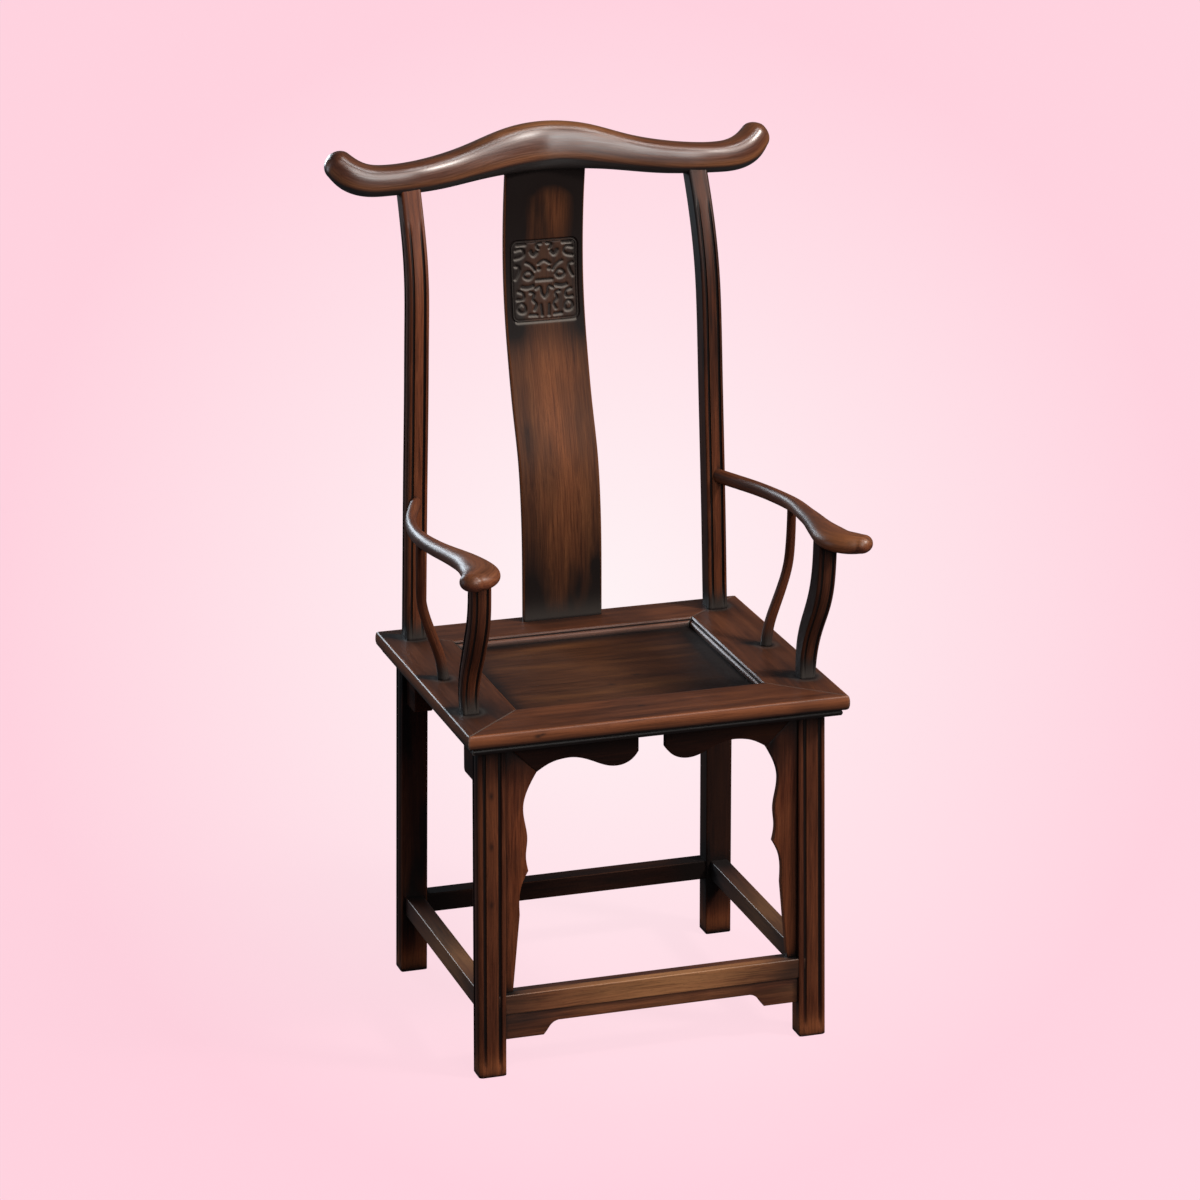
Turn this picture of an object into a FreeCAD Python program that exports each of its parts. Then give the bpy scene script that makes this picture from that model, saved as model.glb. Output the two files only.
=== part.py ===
import FreeCAD, Part
import math
import os

# Official hat chair. Millimetres, Z up, the sitter faces -Y, the floor is Z = 0.
# Pieces that come in pairs are drawn on the right-hand side (+X) and mirrored.
Vector = FreeCAD.Vector

# Seat frame: four mitred rails round a sunk panel
seat_width = 540.0
seat_depth = 465.0
seat_height = 505.0
frame_thickness = 30.0
front_rail_width = 89.0
back_rail_width = 76.0
side_rail_width = 94.0

# Outer edge of the frame: rounded band, slope under it, small bead at the bottom
edge_rounding = 3.0
edge_band = 17.0
edge_slope = 5.0
edge_setback = 9.5
edge_bead = 2.2

# Inner lip of the frame: a fine bead, a quirk, then a wider round
lip_bead = 2.5
lip_flat = 2.0
lip_quirk = 1.5
lip_round = 3.0

# Seat panel and its two dovetailed battens
panel_drop = 13.0
panel_thickness = 9.0
tongue_length = 7.0
tongue_thickness = 5.0
tongue_drop = 1.5
panel_gap = 0.3
batten_spacing = 150.0
batten_width = 28.0
dovetail_depth = 3.0
dovetail_flare = 2.0
batten_tenon = 8.0

# Legs, which lean inwards as they rise
leg_width = 39.0
leg_depth = 31.0
leg_side_setback = 18.5
front_leg_setback = 24.0
rear_leg_setback = 15.0
lean_sideways = 4.7
lean_deep = 9.6
plain_foot = 8.0
foot_fade = 26.0

# Mouldings run down the faces of legs and posts
bead_share = 0.15
groove_share = 0.15
groove_depth = 2.2
band_crown = 0.7
slim_groove_depth = 1.5
plain_rounding = 2.5
flat_groove = 0.05

# Back posts above the seat
post_width = 28.5
post_depth = 31.0
post_step = 2.8
post_rise = 635.0
post_draw_in = 15.9
post_sweep = 58.0
post_tenon_radius = 8.0
post_tenon_length = 48.0
post_tenon_root = 33.0
# share of the rise, of the draw-in, of the sweep back, of the groove depth
post_shares = [
    (0.0, 0.0, 0.0, 0.0),
    (0.05, 0.045, 0.003, 1.0),
    (0.183, 0.16, 0.01, 1.0),
    (0.366, 0.34, 0.033, 1.0),
    (0.559, 0.55, 0.055, 1.0),
    (0.691, 0.68, 0.082, 1.0),
    (0.782, 0.80, 0.148, 1.0),
    (0.863, 0.89, 0.35, 1.0),
    (0.93, 0.94, 0.635, 0.9),
    (1.0, 1.0, 1.0, 0.0),
]

# Crest rail: thick in the middle, waisted over the posts, with rising ends
crest_overhang = 94.4
crest_over_posts = 10.6
crest_bow = 37.6
crest_dip = 24.0
crest_half_height = 34.0
crest_half_depth = 21.0
crest_lean = 12.0
crest_tip_reach = 19.0
# share of the way out to the posts, then of the bow forward, of the dip, of the half height,
# of the half depth, and of the lean
crest_inner_shares = [
    (0.0, 0.0, 0.0, 1.0, 1.0, 1.0),
    (0.26, 0.20, 0.12, 0.93, 1.0, 0.95),
    (0.523, 0.42, 0.55, 0.76, 1.0, 0.7),
    (0.80, 0.77, 0.90, 0.67, 1.0, 0.35),
    (1.0, 0.99, 1.0, 0.625, 0.98, 0.12),
]
# the same, along the part that runs out past the posts
crest_outer_shares = [
    (0.36, 0.99, 1.05, 0.62, 0.98, 0.0),
    (0.63, 0.94, 0.97, 0.65, 1.0, 0.0),
    (0.855, 0.83, 0.615, 0.66, 1.0, 0.0),
    (1.0, 0.66, 0.10, 0.60, 0.95, 0.0),
]
crest_flatness = 2.3

# Splat: a bent board with a carved panel
splat_width = 117.0
splat_thickness = 10.0
splat_rounding = 3.0
splat_head_drop = 9.6
splat_head_forward = 6.0
splat_setback = 26.5
splat_tongue_length = 14.0
splat_tongue_height = 45.0
splat_tongue_inset = 8.0
splat_tongue_thickness = 6.0
splat_tongue_rounding = 1.0
# share of the rise, share of the head's distance behind the foot
splat_shares = [
    (0.0, 0.0),
    (0.09, 0.0),
    (0.18, 0.016),
    (0.27, 0.092),
    (0.36, 0.263),
    (0.45, 0.578),
    (0.54, 0.843),
    (0.63, 1.057),
    (0.72, 1.183),
    (0.81, 1.205),
    (0.90, 1.141),
    (1.0, 1.0),
]

# Carved panel on the splat: a mask cut into the board, inside a fine raised line
carving_width = 101.0
carving_height = 118.0
carving_rise = 476.0
carving_corner = 11.0
carving_groove = 2.4
carving_line = 1.8
carving_depth = 1.6
broad_cut = 4.4
fine_cut = 3.0
# centre lines of the cuts, as shares of half the width and half the height, right half
broad_cut_shares = [
    [(0.15, 0.27)],
    [(0.38, 0.70), (0.30, 0.61), (0.22, 0.67)],
    [(0.34, -0.14), (0.49, -0.17), (0.64, -0.15)],
    [(0.56, 0.89), (0.76, 0.88)],
]
fine_cut_shares = [
    [(0.83, 0.55), (0.70, 0.57), (0.59, 0.65), (0.62, 0.75), (0.82, 0.75)],
    [(0.09, 0.89), (0.20, 0.86), (0.17, 0.76)],
    [(0.52, 0.43), (0.40, 0.38), (0.26, 0.24)],
    [(0.83, 0.37), (0.74, 0.34), (0.75, 0.20), (0.84, 0.06)],
    [(0.34, 0.12), (0.40, 0.20), (0.52, 0.20), (0.59, 0.12), (0.52, 0.05), (0.40, 0.05), (0.34, 0.12)],
    [(0.76, -0.25), (0.62, -0.32), (0.63, -0.43), (0.80, -0.44)],
    [(0.58, -0.62), (0.68, -0.54), (0.79, -0.62), (0.74, -0.74), (0.60, -0.74), (0.58, -0.62)],
    [(0.42, -0.29), (0.32, -0.33), (0.35, -0.46), (0.26, -0.56), (0.31, -0.70)],
    [(0.26, -0.83), (0.46, -0.82)],
    [(0.12, -0.60), (0.10, -0.84)],
]
middle_cut_shares = [
    [(-0.16, 0.39), (0.0, 0.46), (0.16, 0.39)],
    [(-0.22, 0.0), (0.22, 0.0)],
    [(-0.24, -0.20), (-0.13, -0.17), (-0.08, -0.32), (0.0, -0.42)],
    [(0.24, -0.20), (0.13, -0.17), (0.08, -0.32), (0.0, -0.42)],
]

# Arms: thin at the back post, broad and flat at the free end
arm_start_rise = 199.0
arm_rise = 26.0
arm_overhang = 29.1
arm_back_inset = 46.0
arm_spread = 42.5
arm_half_width = 25.6
arm_half_height = 14.0
arm_tip_reach = 14.0
arm_tenon_radius = 4.5
arm_flatness = 2.15
# share of the reach, of the spread, of the rise, of the half width, of the half height
arm_shares = [
    (0.0, -0.16, 0.0, 0.28, 0.74),
    (0.11, 0.33, 0.0, 0.28, 0.74),
    (0.20, 0.66, 0.04, 0.29, 0.74),
    (0.29, 0.88, 0.10, 0.31, 0.74),
    (0.385, 1.0, 0.20, 0.34, 0.75),
    (0.48, 1.0, 0.34, 0.41, 0.75),
    (0.58, 0.90, 0.47, 0.49, 0.76),
    (0.67, 0.78, 0.62, 0.56, 0.81),
    (0.745, 0.66, 0.72, 0.65, 0.90),
    (0.82, 0.57, 0.80, 0.79, 0.98),
    (0.885, 0.55, 0.85, 0.96, 1.0),
    (0.94, 0.63, 0.89, 0.98, 1.0),
    (0.985, 0.96, 0.94, 0.82, 0.95),
    (1.0, 1.12, 0.97, 0.66, 0.89),
]

# Front arm posts: moulded, sweeping forward as they rise
neck_base_inset = 29.4
neck_base_setback = 96.0
neck_head_drop = 7.0
neck_sweep = 62.5
neck_outward = 2.4
neck_width = 26.0
neck_depth = 32.0
neck_tenon_radius = 7.0
neck_tenon_length = 20.0
neck_foot_tenon = 14.0
neck_foot_tenon_side = 13.0
# share of the rise, of the sweep forward, of the outward drift, of the width, of the depth,
# and of the groove depth
neck_shares = [
    (0.0, 0.0, 0.0, 0.87, 0.70, 0.0),
    (0.115, 0.01, 0.25, 0.92, 0.74, 1.0),
    (0.25, 0.13, 0.33, 0.96, 0.85, 1.0),
    (0.39, 0.38, 0.42, 0.98, 0.96, 1.0),
    (0.53, 0.66, 0.75, 0.99, 1.0, 1.0),
    (0.665, 0.87, 0.75, 1.0, 0.94, 1.0),
    (0.81, 0.97, 0.85, 1.0, 0.88, 1.0),
    (1.0, 1.0, 1.0, 1.0, 0.86, 1.0),
]

# Side arm posts: slim, round, leaning outwards as they rise
spindle_base_inset = 35.0
spindle_setback = 6.8
spindle_head_rise = 8.0
spindle_outward = 32.5
spindle_sweep = 8.6
spindle_radius = 8.0
spindle_tenon_radius = 4.0
spindle_tenon_length = 18.0
spindle_foot_tenon = 14.0
spindle_foot_radius = 5.0
# share of the rise, of the outward lean, of the sweep forward, of the radius
spindle_shares = [
    (0.0, 0.0, 0.0, 1.0),
    (0.12, 0.10, 0.02, 0.97),
    (0.265, 0.38, 0.03, 0.96),
    (0.41, 0.70, 0.08, 0.91),
    (0.555, 0.93, 0.25, 0.86),
    (0.70, 0.985, 0.68, 0.83),
    (0.85, 1.0, 0.90, 0.80),
    (1.0, 1.0, 1.0, 0.78),
]

# Front aprons: a head under the rail and a stile down each leg, mitred together
apron_setback = 38.5
apron_thickness = 12.0
apron_middle_gap = 38.5
head_drop = 48.0
head_end_drop = 30.0
mitre_drop = 44.5
stile_foot_width = 13.0
apron_tongue = 3.0
# share of the head's length, share of its drop; middle end first
head_shares = [
    (0.028, 0.774),
    (0.085, 0.936),
    (0.150, 1.0),
    (0.241, 0.958),
    (0.323, 0.825),
    (0.491, 0.609),
    (0.562, 0.613),
    (0.662, 0.702),
]
# share of the head's mitre width, share of the stile's length below the mitre
stile_upper_shares = [(0.76, 0.066), (0.60, 0.145), (0.62, 0.20), (0.73, 0.30), (0.69, 0.38)]
stile_cusp_share = (0.765, 0.447)
stile_lower_shares = [(0.56, 0.508), (0.50, 0.645)]

# Stretchers, one level ring
stretcher_width = 26.0
stretcher_height = 28.0
stretcher_floor_gap = 88.0
stretcher_rounding = 1.5
stretcher_tenon_thickness = 9.0
stretcher_tenon_height = 16.0
front_tenon_length = 12.0
side_tenon_length = 13.0

# Apron under the front stretcher
foot_apron_thickness = 10.0
foot_apron_setback = 32.5
foot_apron_height = 18.7
foot_apron_ear = 19.3
foot_apron_left_ear = 55.0
foot_apron_right_ear = 49.0
foot_apron_curve_length = 21.0
# share of the curve's length from its top end, share of the ear's drop
foot_curve_shares = [(0.0, 0.0), (0.25, 0.08), (0.58, 0.38), (0.78, 0.70), (1.0, 1.0)]

# Brackets under the side rails
bracket_height = 64.0
bracket_width = 26.0
bracket_side_setback = 30.0
front_bracket_length = 62.0
rear_bracket_length = 42.0
bracket_rounding = 6.0
bracket_tenon_height = 5.0
bracket_tenon_width = 10.0
bracket_tenon_length = 12.0

# Joints
clearance = 0.2
end_gap = 1.0
leg_tenon_width = 20.0
leg_tenon_depth = 14.0
leg_tenon_height = 18.0
mitre_tenon_width = 12.0
mitre_tenon_thickness = 10.0
mitre_tenon_drop = 18.0
mitre_tenon_root = 20.0
front_tenon_offset = 11.0
back_tenon_offset = 5.0
front_tenon_end = 30.0
back_tenon_end = 38.0
seat_peg_radius = 3.0
seat_peg_height = 20.0
seat_peg_inset = 18.0
crest_peg_radius = 2.5
crest_peg_length = 60.0
crest_peg_rise = 8.0
cutter_overrun = 40.0
mitre_overrun_share = 0.3
tube_points = 20

half_width = seat_width / 2
half_depth = seat_depth / 2
neck_rise = arm_start_rise + arm_rise - neck_head_drop
spindle_rise = arm_start_rise + spindle_head_rise
frame_bottom = seat_height - frame_thickness
stretcher_top = stretcher_floor_gap + stretcher_height
stretcher_middle = stretcher_floor_gap + stretcher_height / 2
lip_depth = lip_quirk + lip_round
panel_top = seat_height - panel_drop
panel_bottom = panel_top - panel_thickness
batten_places = [-batten_spacing / 2, batten_spacing / 2]
tip_angles = [25, 48, 68, 84]


def block(centre, width, depth, height):
    return Part.makeBox(width, depth, height, centre - Vector(width, depth, height) / 2)


def box_between(low, high):
    return Part.makeBox(high.x - low.x, high.y - low.y, high.z - low.z, low)


def mirrored(shape):
    return shape.mirror(Vector(0, 0, 0), Vector(1, 0, 0))


def with_mirror(shapes):
    return shapes + [mirrored(shape) for shape in shapes]


def line(start, end):
    return Part.LineSegment(start, end).toShape()


def arc(start, middle, end):
    return Part.Arc(start, middle, end).toShape()


def curve_through(points):
    curve = Part.BSplineCurve()
    curve.interpolate(points)
    return curve


def prism(edges, direction):
    return Part.Face(Part.Wire(Part.__sortEdges__(edges))).extrude(direction)


def slab(points, direction):
    return Part.Face(Part.makePolygon(points + points[:1])).extrude(direction)


def grown(length):
    return length + 2 * clearance


# Sections of moulded timbers


def face_edges(start, end, inward, trim, moulded, groove):
    # one face of a section between its rounded corners: groove, crowned band, groove
    along = (end - start).normalize()
    length = (end - start).Length
    first = start + along * trim
    last = end - along * trim
    if not moulded:
        return first, last, [line(first, last)]
    step = along * (length * groove_share)
    crown = inward * (band_crown * groove / groove_depth)
    dip = inward * groove
    band_start = first + step + crown
    band_end = last - step + crown
    edges = [
        arc(first, first + step / 2 + dip, band_start),
        arc(band_start, (first + last) / 2, band_end),
        arc(band_end, last - step / 2 + dip, last),
    ]
    return first, last, edges


def section(centre, width, depth, moulded, groove, rounding=plain_rounding):
    # a rectangle with rounded corners, which are the beads of the moulded faces
    across = Vector(width / 2, 0, 0)
    deep = Vector(0, depth / 2, 0)
    corners = [
        centre - across - deep,
        centre + across - deep,
        centre + across + deep,
        centre - across + deep,
    ]
    inwards = {
        "front": Vector(0, 1, 0),
        "outer": Vector(-1, 0, 0),
        "back": Vector(0, -1, 0),
        "inner": Vector(1, 0, 0),
    }
    faces = []
    for index, name in enumerate(inwards):
        start = corners[index]
        end = corners[(index + 1) % len(corners)]
        trim = (end - start).Length * bead_share if name in moulded else rounding
        faces.append(face_edges(start, end, inwards[name], trim, name in moulded, groove))
    edges = []
    pull = 1 - math.sqrt(0.5)
    for index, (first, last, own_edges) in enumerate(faces):
        corner = corners[(index + 1) % len(corners)]
        following = faces[(index + 1) % len(corners)][0]
        middle = corner + (last - corner) * pull + (following - corner) * pull
        edges += own_edges
        edges.append(arc(last, middle, following))
    return Part.Wire(edges)


# Rounded timbers


def ring(centre, side, up, half_side, half_up, flatness):
    points = []
    for index in range(tube_points):
        angle = 2 * math.pi * index / tube_points
        across = math.copysign(abs(math.cos(angle)) ** (2 / flatness), math.cos(angle))
        rise = math.copysign(abs(math.sin(angle)) ** (2 / flatness), math.sin(angle))
        points.append(centre + side * (half_side * across) + up * (half_up * rise))
    curve = Part.BSplineCurve()
    curve.interpolate(Points=points, PeriodicFlag=True)
    return Part.Wire(curve.toShape())


def tip_rings(station, outward, reach, flatness):
    # rings that shrink to a rounded end
    centre, side, up, half_side, half_up = station
    rings = []
    for degrees in tip_angles:
        shrink = math.cos(math.radians(degrees))
        spot = centre + outward * (reach * math.sin(math.radians(degrees)))
        rings.append(ring(spot, side, up, half_side * shrink, half_up * shrink, flatness))
    return rings


def tube_stations(rows):
    # rows of centre point, half width, half height and lean; square to the centre line
    curve = curve_through([row[0] for row in rows])
    stations = []
    tangents = []
    for point, half_side, half_up, lean in rows:
        tangent = curve.tangent(curve.parameter(point))[0].normalize()
        side = tangent.cross(Vector(0, 0, 1)).normalize()
        up = side.cross(tangent).normalize()
        turn = FreeCAD.Rotation(tangent, lean)
        stations.append((point, turn.multVec(side), turn.multVec(up), half_side, half_up))
        tangents.append(tangent)
    return stations, tangents


# Legs and back posts


def leg_centre(rear, height):
    rise = height / seat_height
    setback = rear_leg_setback if rear else front_leg_setback
    across = half_width - leg_side_setback - leg_width / 2 - lean_sideways * rise
    deep = half_depth - setback - leg_depth / 2 - lean_deep * rise
    return Vector(across, deep if rear else -deep, height)


def leg_inner_face(height):
    return leg_centre(False, height).x - leg_width / 2


def leg_blank(rear):
    moulded = ["outer"] if rear else ["front", "outer"]
    stations = [
        (0, flat_groove),
        (plain_foot, flat_groove),
        (foot_fade, groove_depth),
        (frame_bottom, groove_depth),
    ]
    wires = []
    for height, groove in stations:
        wires.append(section(leg_centre(rear, height), leg_width, leg_depth, moulded, groove))
    return Part.makeLoft(wires, True, True)


def post_centre(rise, draw, sweep):
    foot = leg_centre(True, seat_height)
    inward = post_step + post_draw_in * draw
    return foot + Vector(-inward, post_sweep * sweep, post_rise * rise)


def post_in_seat(width, depth):
    foot = leg_centre(True, frame_bottom) - Vector(post_step, 0, 0)
    head = post_centre(0, 0, 0)
    wires = [section(spot, width, depth, ["front", "outer"], flat_groove) for spot in (foot, head)]
    return Part.makeLoft(wires, True, True)


def post_blank():
    wires = []
    for rise, draw, sweep, groove_part in post_shares:
        groove = max(flat_groove, groove_depth * groove_part)
        spot = post_centre(rise, draw, sweep)
        wires.append(section(spot, post_width, post_depth, ["front", "outer"], groove))
    return Part.makeLoft(wires, True, False)


def post_head():
    return post_centre(*post_shares[-1][:3])


def post_tenon(extra, gap):
    along = (post_head() - post_centre(*post_shares[-2][:3])).normalize()
    start = post_head() - along * post_tenon_root
    return Part.makeCylinder(post_tenon_radius + extra, post_tenon_length + gap, start, along)


# Crest rail


def crest_middle():
    return Vector(0, post_head().y + crest_bow, post_head().z + crest_over_posts + crest_dip)


def crest_half():
    head = post_head().x
    rows = [(head * row[0], row[1:]) for row in crest_inner_shares]
    rows += [(head + crest_overhang * row[0], row[1:]) for row in crest_outer_shares]
    stations = []
    for across, (bow, dip, tall, deep, lean) in rows:
        point = crest_middle() + Vector(across, -crest_bow * bow, -crest_dip * dip)
        stations.append((point, crest_half_depth * deep, crest_half_height * tall, crest_lean * lean))
    return stations


def crest_blank():
    right = crest_half()
    left = [(Vector(-point.x, point.y, point.z), *sizes) for point, *sizes in right[:0:-1]]
    stations, tangents = tube_stations(left + right)
    rings = tip_rings(stations[0], -tangents[0], crest_tip_reach, crest_flatness)[::-1]
    rings += [ring(*station, crest_flatness) for station in stations]
    rings += tip_rings(stations[-1], tangents[-1], crest_tip_reach, crest_flatness)
    return Part.makeLoft(rings, True, False)


def crest_peg():
    start = post_head() + Vector(0, -post_tenon_radius, crest_peg_rise)
    return Part.makeCylinder(crest_peg_radius, crest_peg_length, start, Vector(0, 1, 0))


# Splat


def splat_centre(rise, sweep):
    foot = Vector(0, half_depth - splat_setback + splat_thickness / 2, seat_height)
    head = crest_middle() - Vector(0, splat_head_forward, splat_head_drop)
    return foot + Vector(0, (head.y - foot.y) * sweep, (head.z - foot.z) * rise)


def splat_blank(width, thickness, rounding, extra_height):
    wires = []
    for rise, sweep in splat_shares:
        spot = splat_centre(rise, sweep)
        if rise == splat_shares[-1][0]:
            spot.z += extra_height
        wires.append(section(spot, width, thickness, [], 0, rounding))
    return Part.makeLoft(wires, True, False)


def splat_top_tongue(extra, gap):
    width = splat_width - 2 * splat_tongue_inset + 2 * extra
    whole = splat_blank(width, splat_tongue_thickness + 2 * extra, splat_tongue_rounding, gap)
    window = block(splat_centre(1, 1), splat_width, seat_depth, 2 * splat_tongue_height)
    return whole.common(window)


def splat_foot_tongue(extra, gap):
    foot = splat_centre(0, 0)
    width = splat_width - 2 * splat_tongue_inset + 2 * extra
    height = splat_tongue_length + gap
    return block(foot - Vector(0, 0, height / 2), width, splat_tongue_thickness + 2 * extra, height)


def cut_along(shares, width):
    # round-ended channel along a chain of points, square to the splat's width
    centre = Vector(0, 0, seat_height + carving_rise)
    points = [centre + Vector(x * carving_width / 2, 0, z * carving_height / 2) for x, z in shares]
    depth = Vector(0, 2 * seat_depth, 0)
    pieces = [Part.makeCylinder(width / 2, depth.y, point, Vector(0, 1, 0)) for point in points]
    for start, end in zip(points[:-1], points[1:]):
        along = (end - start).normalize()
        side = along.cross(Vector(0, 1, 0)) * (width / 2)
        pieces.append(slab([start - side, end - side, end + side, start + side], depth))
    return pieces


def rounded_window(inset):
    # the panel's outline, drawn in by the inset, square to the splat's width
    centre = Vector(0, seat_depth, seat_height + carving_rise)
    width = carving_width - 2 * inset
    window = block(centre, width, 2 * seat_depth, carving_height - 2 * inset)
    upright = [edge for edge in window.Edges if edge.BoundBox.YLength > seat_depth]
    return window.makeFillet(carving_corner - inset, upright)


def carving_skin():
    # the layer of the splat's front that the carving sinks into
    front = Vector(0, carving_depth - splat_thickness / 2, 0)
    points = [splat_centre(rise, sweep) + front for rise, sweep in splat_shares]
    curve = curve_through(points)
    ahead = Vector(0, -2 * cutter_overrun, 0)
    edges = [curve.toShape(), line(points[-1], points[-1] + ahead)]
    edges.append(line(points[-1] + ahead, points[0] + ahead * 2))
    edges.append(line(points[0] + ahead * 2, points[0]))
    layer = prism(edges, Vector(splat_width, 0, 0))
    layer.translate(Vector(-splat_width / 2, 0, 0))
    return layer


def carving():
    outline = rounded_window(0)
    inside_groove = rounded_window(carving_groove)
    inside_line = rounded_window(carving_groove + carving_line)
    cuts = []
    for shares in broad_cut_shares:
        cuts += with_mirror(cut_along(shares, broad_cut))
    for shares in fine_cut_shares:
        cuts += with_mirror(cut_along(shares, fine_cut))
    for shares in middle_cut_shares:
        cuts += cut_along(shares, fine_cut)
    channels = cuts[0].fuse(cuts[1:]).common(inside_line)
    return outline.cut(inside_groove).fuse(channels).common(carving_skin())


def splat_piece(crest):
    board = splat_blank(splat_width, splat_thickness, splat_rounding, 0).cut(crest)
    board = board.cut(carving())
    return board.fuse([splat_top_tongue(0, 0), splat_foot_tongue(0, 0)])


# Arms and their posts


def arm_rows():
    rows = []
    start = leg_centre(True, seat_height + arm_start_rise)
    start.x = half_width - arm_back_inset
    start.y = leg_centre(True, seat_height).y
    arm_reach = start.y + half_depth + arm_overhang
    for reach, spread, rise, half_across, half_up in arm_shares:
        point = start + Vector(arm_spread * spread, -arm_reach * reach, arm_rise * rise)
        rows.append((point, arm_half_width * half_across, arm_half_height * half_up, 0))
    return rows


def arm_blank():
    stations, tangents = tube_stations(arm_rows())
    rings = [ring(*station, arm_flatness) for station in stations]
    rings += tip_rings(stations[-1], tangents[-1], arm_tip_reach, arm_flatness)
    return Part.makeLoft(rings, True, False)


def arm_tenon(extra, gap):
    root = arm_rows()[1][0]
    end = arm_rows()[0][0]
    along = (end - root).normalize()
    return Part.makeCylinder(arm_tenon_radius + extra, (end - root).Length + gap, root, along)


def neck_spot(rise, sweep, drift):
    base = Vector(half_width - neck_base_inset, neck_base_setback - half_depth, seat_height)
    return base + Vector(neck_outward * drift, -neck_sweep * sweep, neck_rise * rise)


def neck_blank():
    wires = []
    for rise, sweep, drift, wide, deep, groove_part in neck_shares:
        groove = max(flat_groove, slim_groove_depth * groove_part)
        spot = neck_spot(rise, sweep, drift)
        wires.append(section(spot, neck_width * wide, neck_depth * deep, ["front", "outer"], groove))
    return Part.makeLoft(wires, True, False)


def neck_head_tenon(extra, gap):
    head = neck_spot(1, 1, 1)
    start = head - Vector(0, 0, neck_tenon_length)
    return Part.makeCylinder(neck_tenon_radius + extra, neck_tenon_length + gap, start)


def neck_foot(extra, gap):
    size = neck_foot_tenon_side + 2 * extra
    height = neck_foot_tenon + gap
    return block(neck_spot(0, 0, 0) - Vector(0, 0, height / 2), size, size, height)


def spindle_spot(rise, lean, sweep):
    base = Vector(half_width - spindle_base_inset, spindle_setback, seat_height)
    return base + Vector(spindle_outward * lean, -spindle_sweep * sweep, spindle_rise * rise)


def spindle_blank():
    wires = []
    for rise, lean, sweep, radius_part in spindle_shares:
        spot = spindle_spot(rise, lean, sweep)
        circle = Part.Circle(spot, Vector(0, 0, 1), spindle_radius * radius_part)
        wires.append(Part.Wire(circle.toShape()))
    return Part.makeLoft(wires, True, False)


def spindle_head_tenon(extra, gap):
    start = spindle_spot(1, 1, 1) - Vector(0, 0, spindle_tenon_length)
    return Part.makeCylinder(spindle_tenon_radius + extra, spindle_tenon_length + gap, start)


def spindle_foot(extra, gap):
    height = spindle_foot_tenon + gap
    start = spindle_spot(0, 0, 0) - Vector(0, 0, height)
    return Part.makeCylinder(spindle_foot_radius + extra, height, start)


# Seat frame and panel


def rail_outline(rail_width, place):
    # the rail's section; place turns a distance in from the outer face and a drop into a point
    inner = rail_width + lip_quirk
    last = rail_width + lip_depth
    slope_end = edge_band + edge_slope
    lip_step = lip_bead + lip_flat
    pull = 1 - math.sqrt(0.5)
    full = 1 - pull
    corner = edge_rounding * pull
    return [
        line(place(edge_rounding, 0), place(rail_width - lip_bead, 0)),
        arc(
            place(rail_width - lip_bead, 0),
            place(rail_width - lip_bead * pull, lip_bead * pull),
            place(rail_width, lip_bead),
        ),
        line(place(rail_width, lip_bead), place(rail_width, lip_step)),
        line(place(rail_width, lip_step), place(inner, lip_step)),
        arc(
            place(inner, lip_step),
            place(inner + lip_round * full, lip_step + lip_round * pull),
            place(last, lip_step + lip_round),
        ),
        line(place(last, lip_step + lip_round), place(last, frame_thickness)),
        line(place(last, frame_thickness), place(edge_setback, frame_thickness)),
        arc(
            place(edge_setback, frame_thickness),
            place(edge_setback - edge_bead, (frame_thickness + slope_end) / 2),
            place(edge_setback, slope_end),
        ),
        arc(
            place(edge_setback, slope_end),
            place(edge_setback * pull, edge_band + edge_slope * full * full),
            place(0, edge_band),
        ),
        line(place(0, edge_band), place(0, edge_rounding)),
        arc(place(0, edge_rounding), place(corner, corner), place(edge_rounding, 0)),
    ]


def mitre_spot(rear, share):
    # along the mitre from the outer corner (0) past the inner corner (1)
    rail_width = back_rail_width if rear else front_rail_width
    across = half_width - side_rail_width * share
    deep = half_depth - rail_width * share
    return Vector(across, deep if rear else -deep, frame_bottom - cutter_overrun)


def end_rail_blank(rear):
    side = 1 if rear else -1
    rail_width = back_rail_width if rear else front_rail_width
    outline = rail_outline(
        rail_width,
        lambda inset, drop: Vector(-half_width, side * (half_depth - inset), seat_height - drop),
    )
    rail = prism(outline, Vector(seat_width, 0, 0))
    near = mitre_spot(rear, -mitre_overrun_share)
    far = mitre_spot(rear, 1 + mitre_overrun_share)
    corners = [near, far, Vector(-far.x, far.y, far.z), Vector(-near.x, near.y, near.z)]
    return rail.common(slab(corners, Vector(0, 0, frame_thickness + 2 * cutter_overrun)))


def side_rail_blank():
    outline = rail_outline(
        side_rail_width,
        lambda inset, drop: Vector(half_width - inset, -half_depth, seat_height - drop),
    )
    rail = prism(outline, Vector(0, seat_depth, 0))
    corners = [
        mitre_spot(False, -mitre_overrun_share),
        mitre_spot(True, -mitre_overrun_share),
        mitre_spot(True, 1 + mitre_overrun_share),
        mitre_spot(False, 1 + mitre_overrun_share),
    ]
    return rail.common(slab(corners, Vector(0, 0, frame_thickness + 2 * cutter_overrun)))


def mitre_tenon(rear, extra, gap):
    rail_width = back_rail_width if rear else front_rail_width
    offset = back_tenon_offset if rear else front_tenon_offset
    end = back_tenon_end if rear else front_tenon_end
    deep = half_depth - rail_width + offset + mitre_tenon_width / 2
    start_across = half_width - side_rail_width - mitre_tenon_root
    length = half_width - end + gap - start_across
    centre = Vector(start_across + length / 2, deep if rear else -deep, seat_height - mitre_tenon_drop)
    return block(centre, length, mitre_tenon_width + 2 * extra, mitre_tenon_thickness + 2 * extra)


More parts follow.
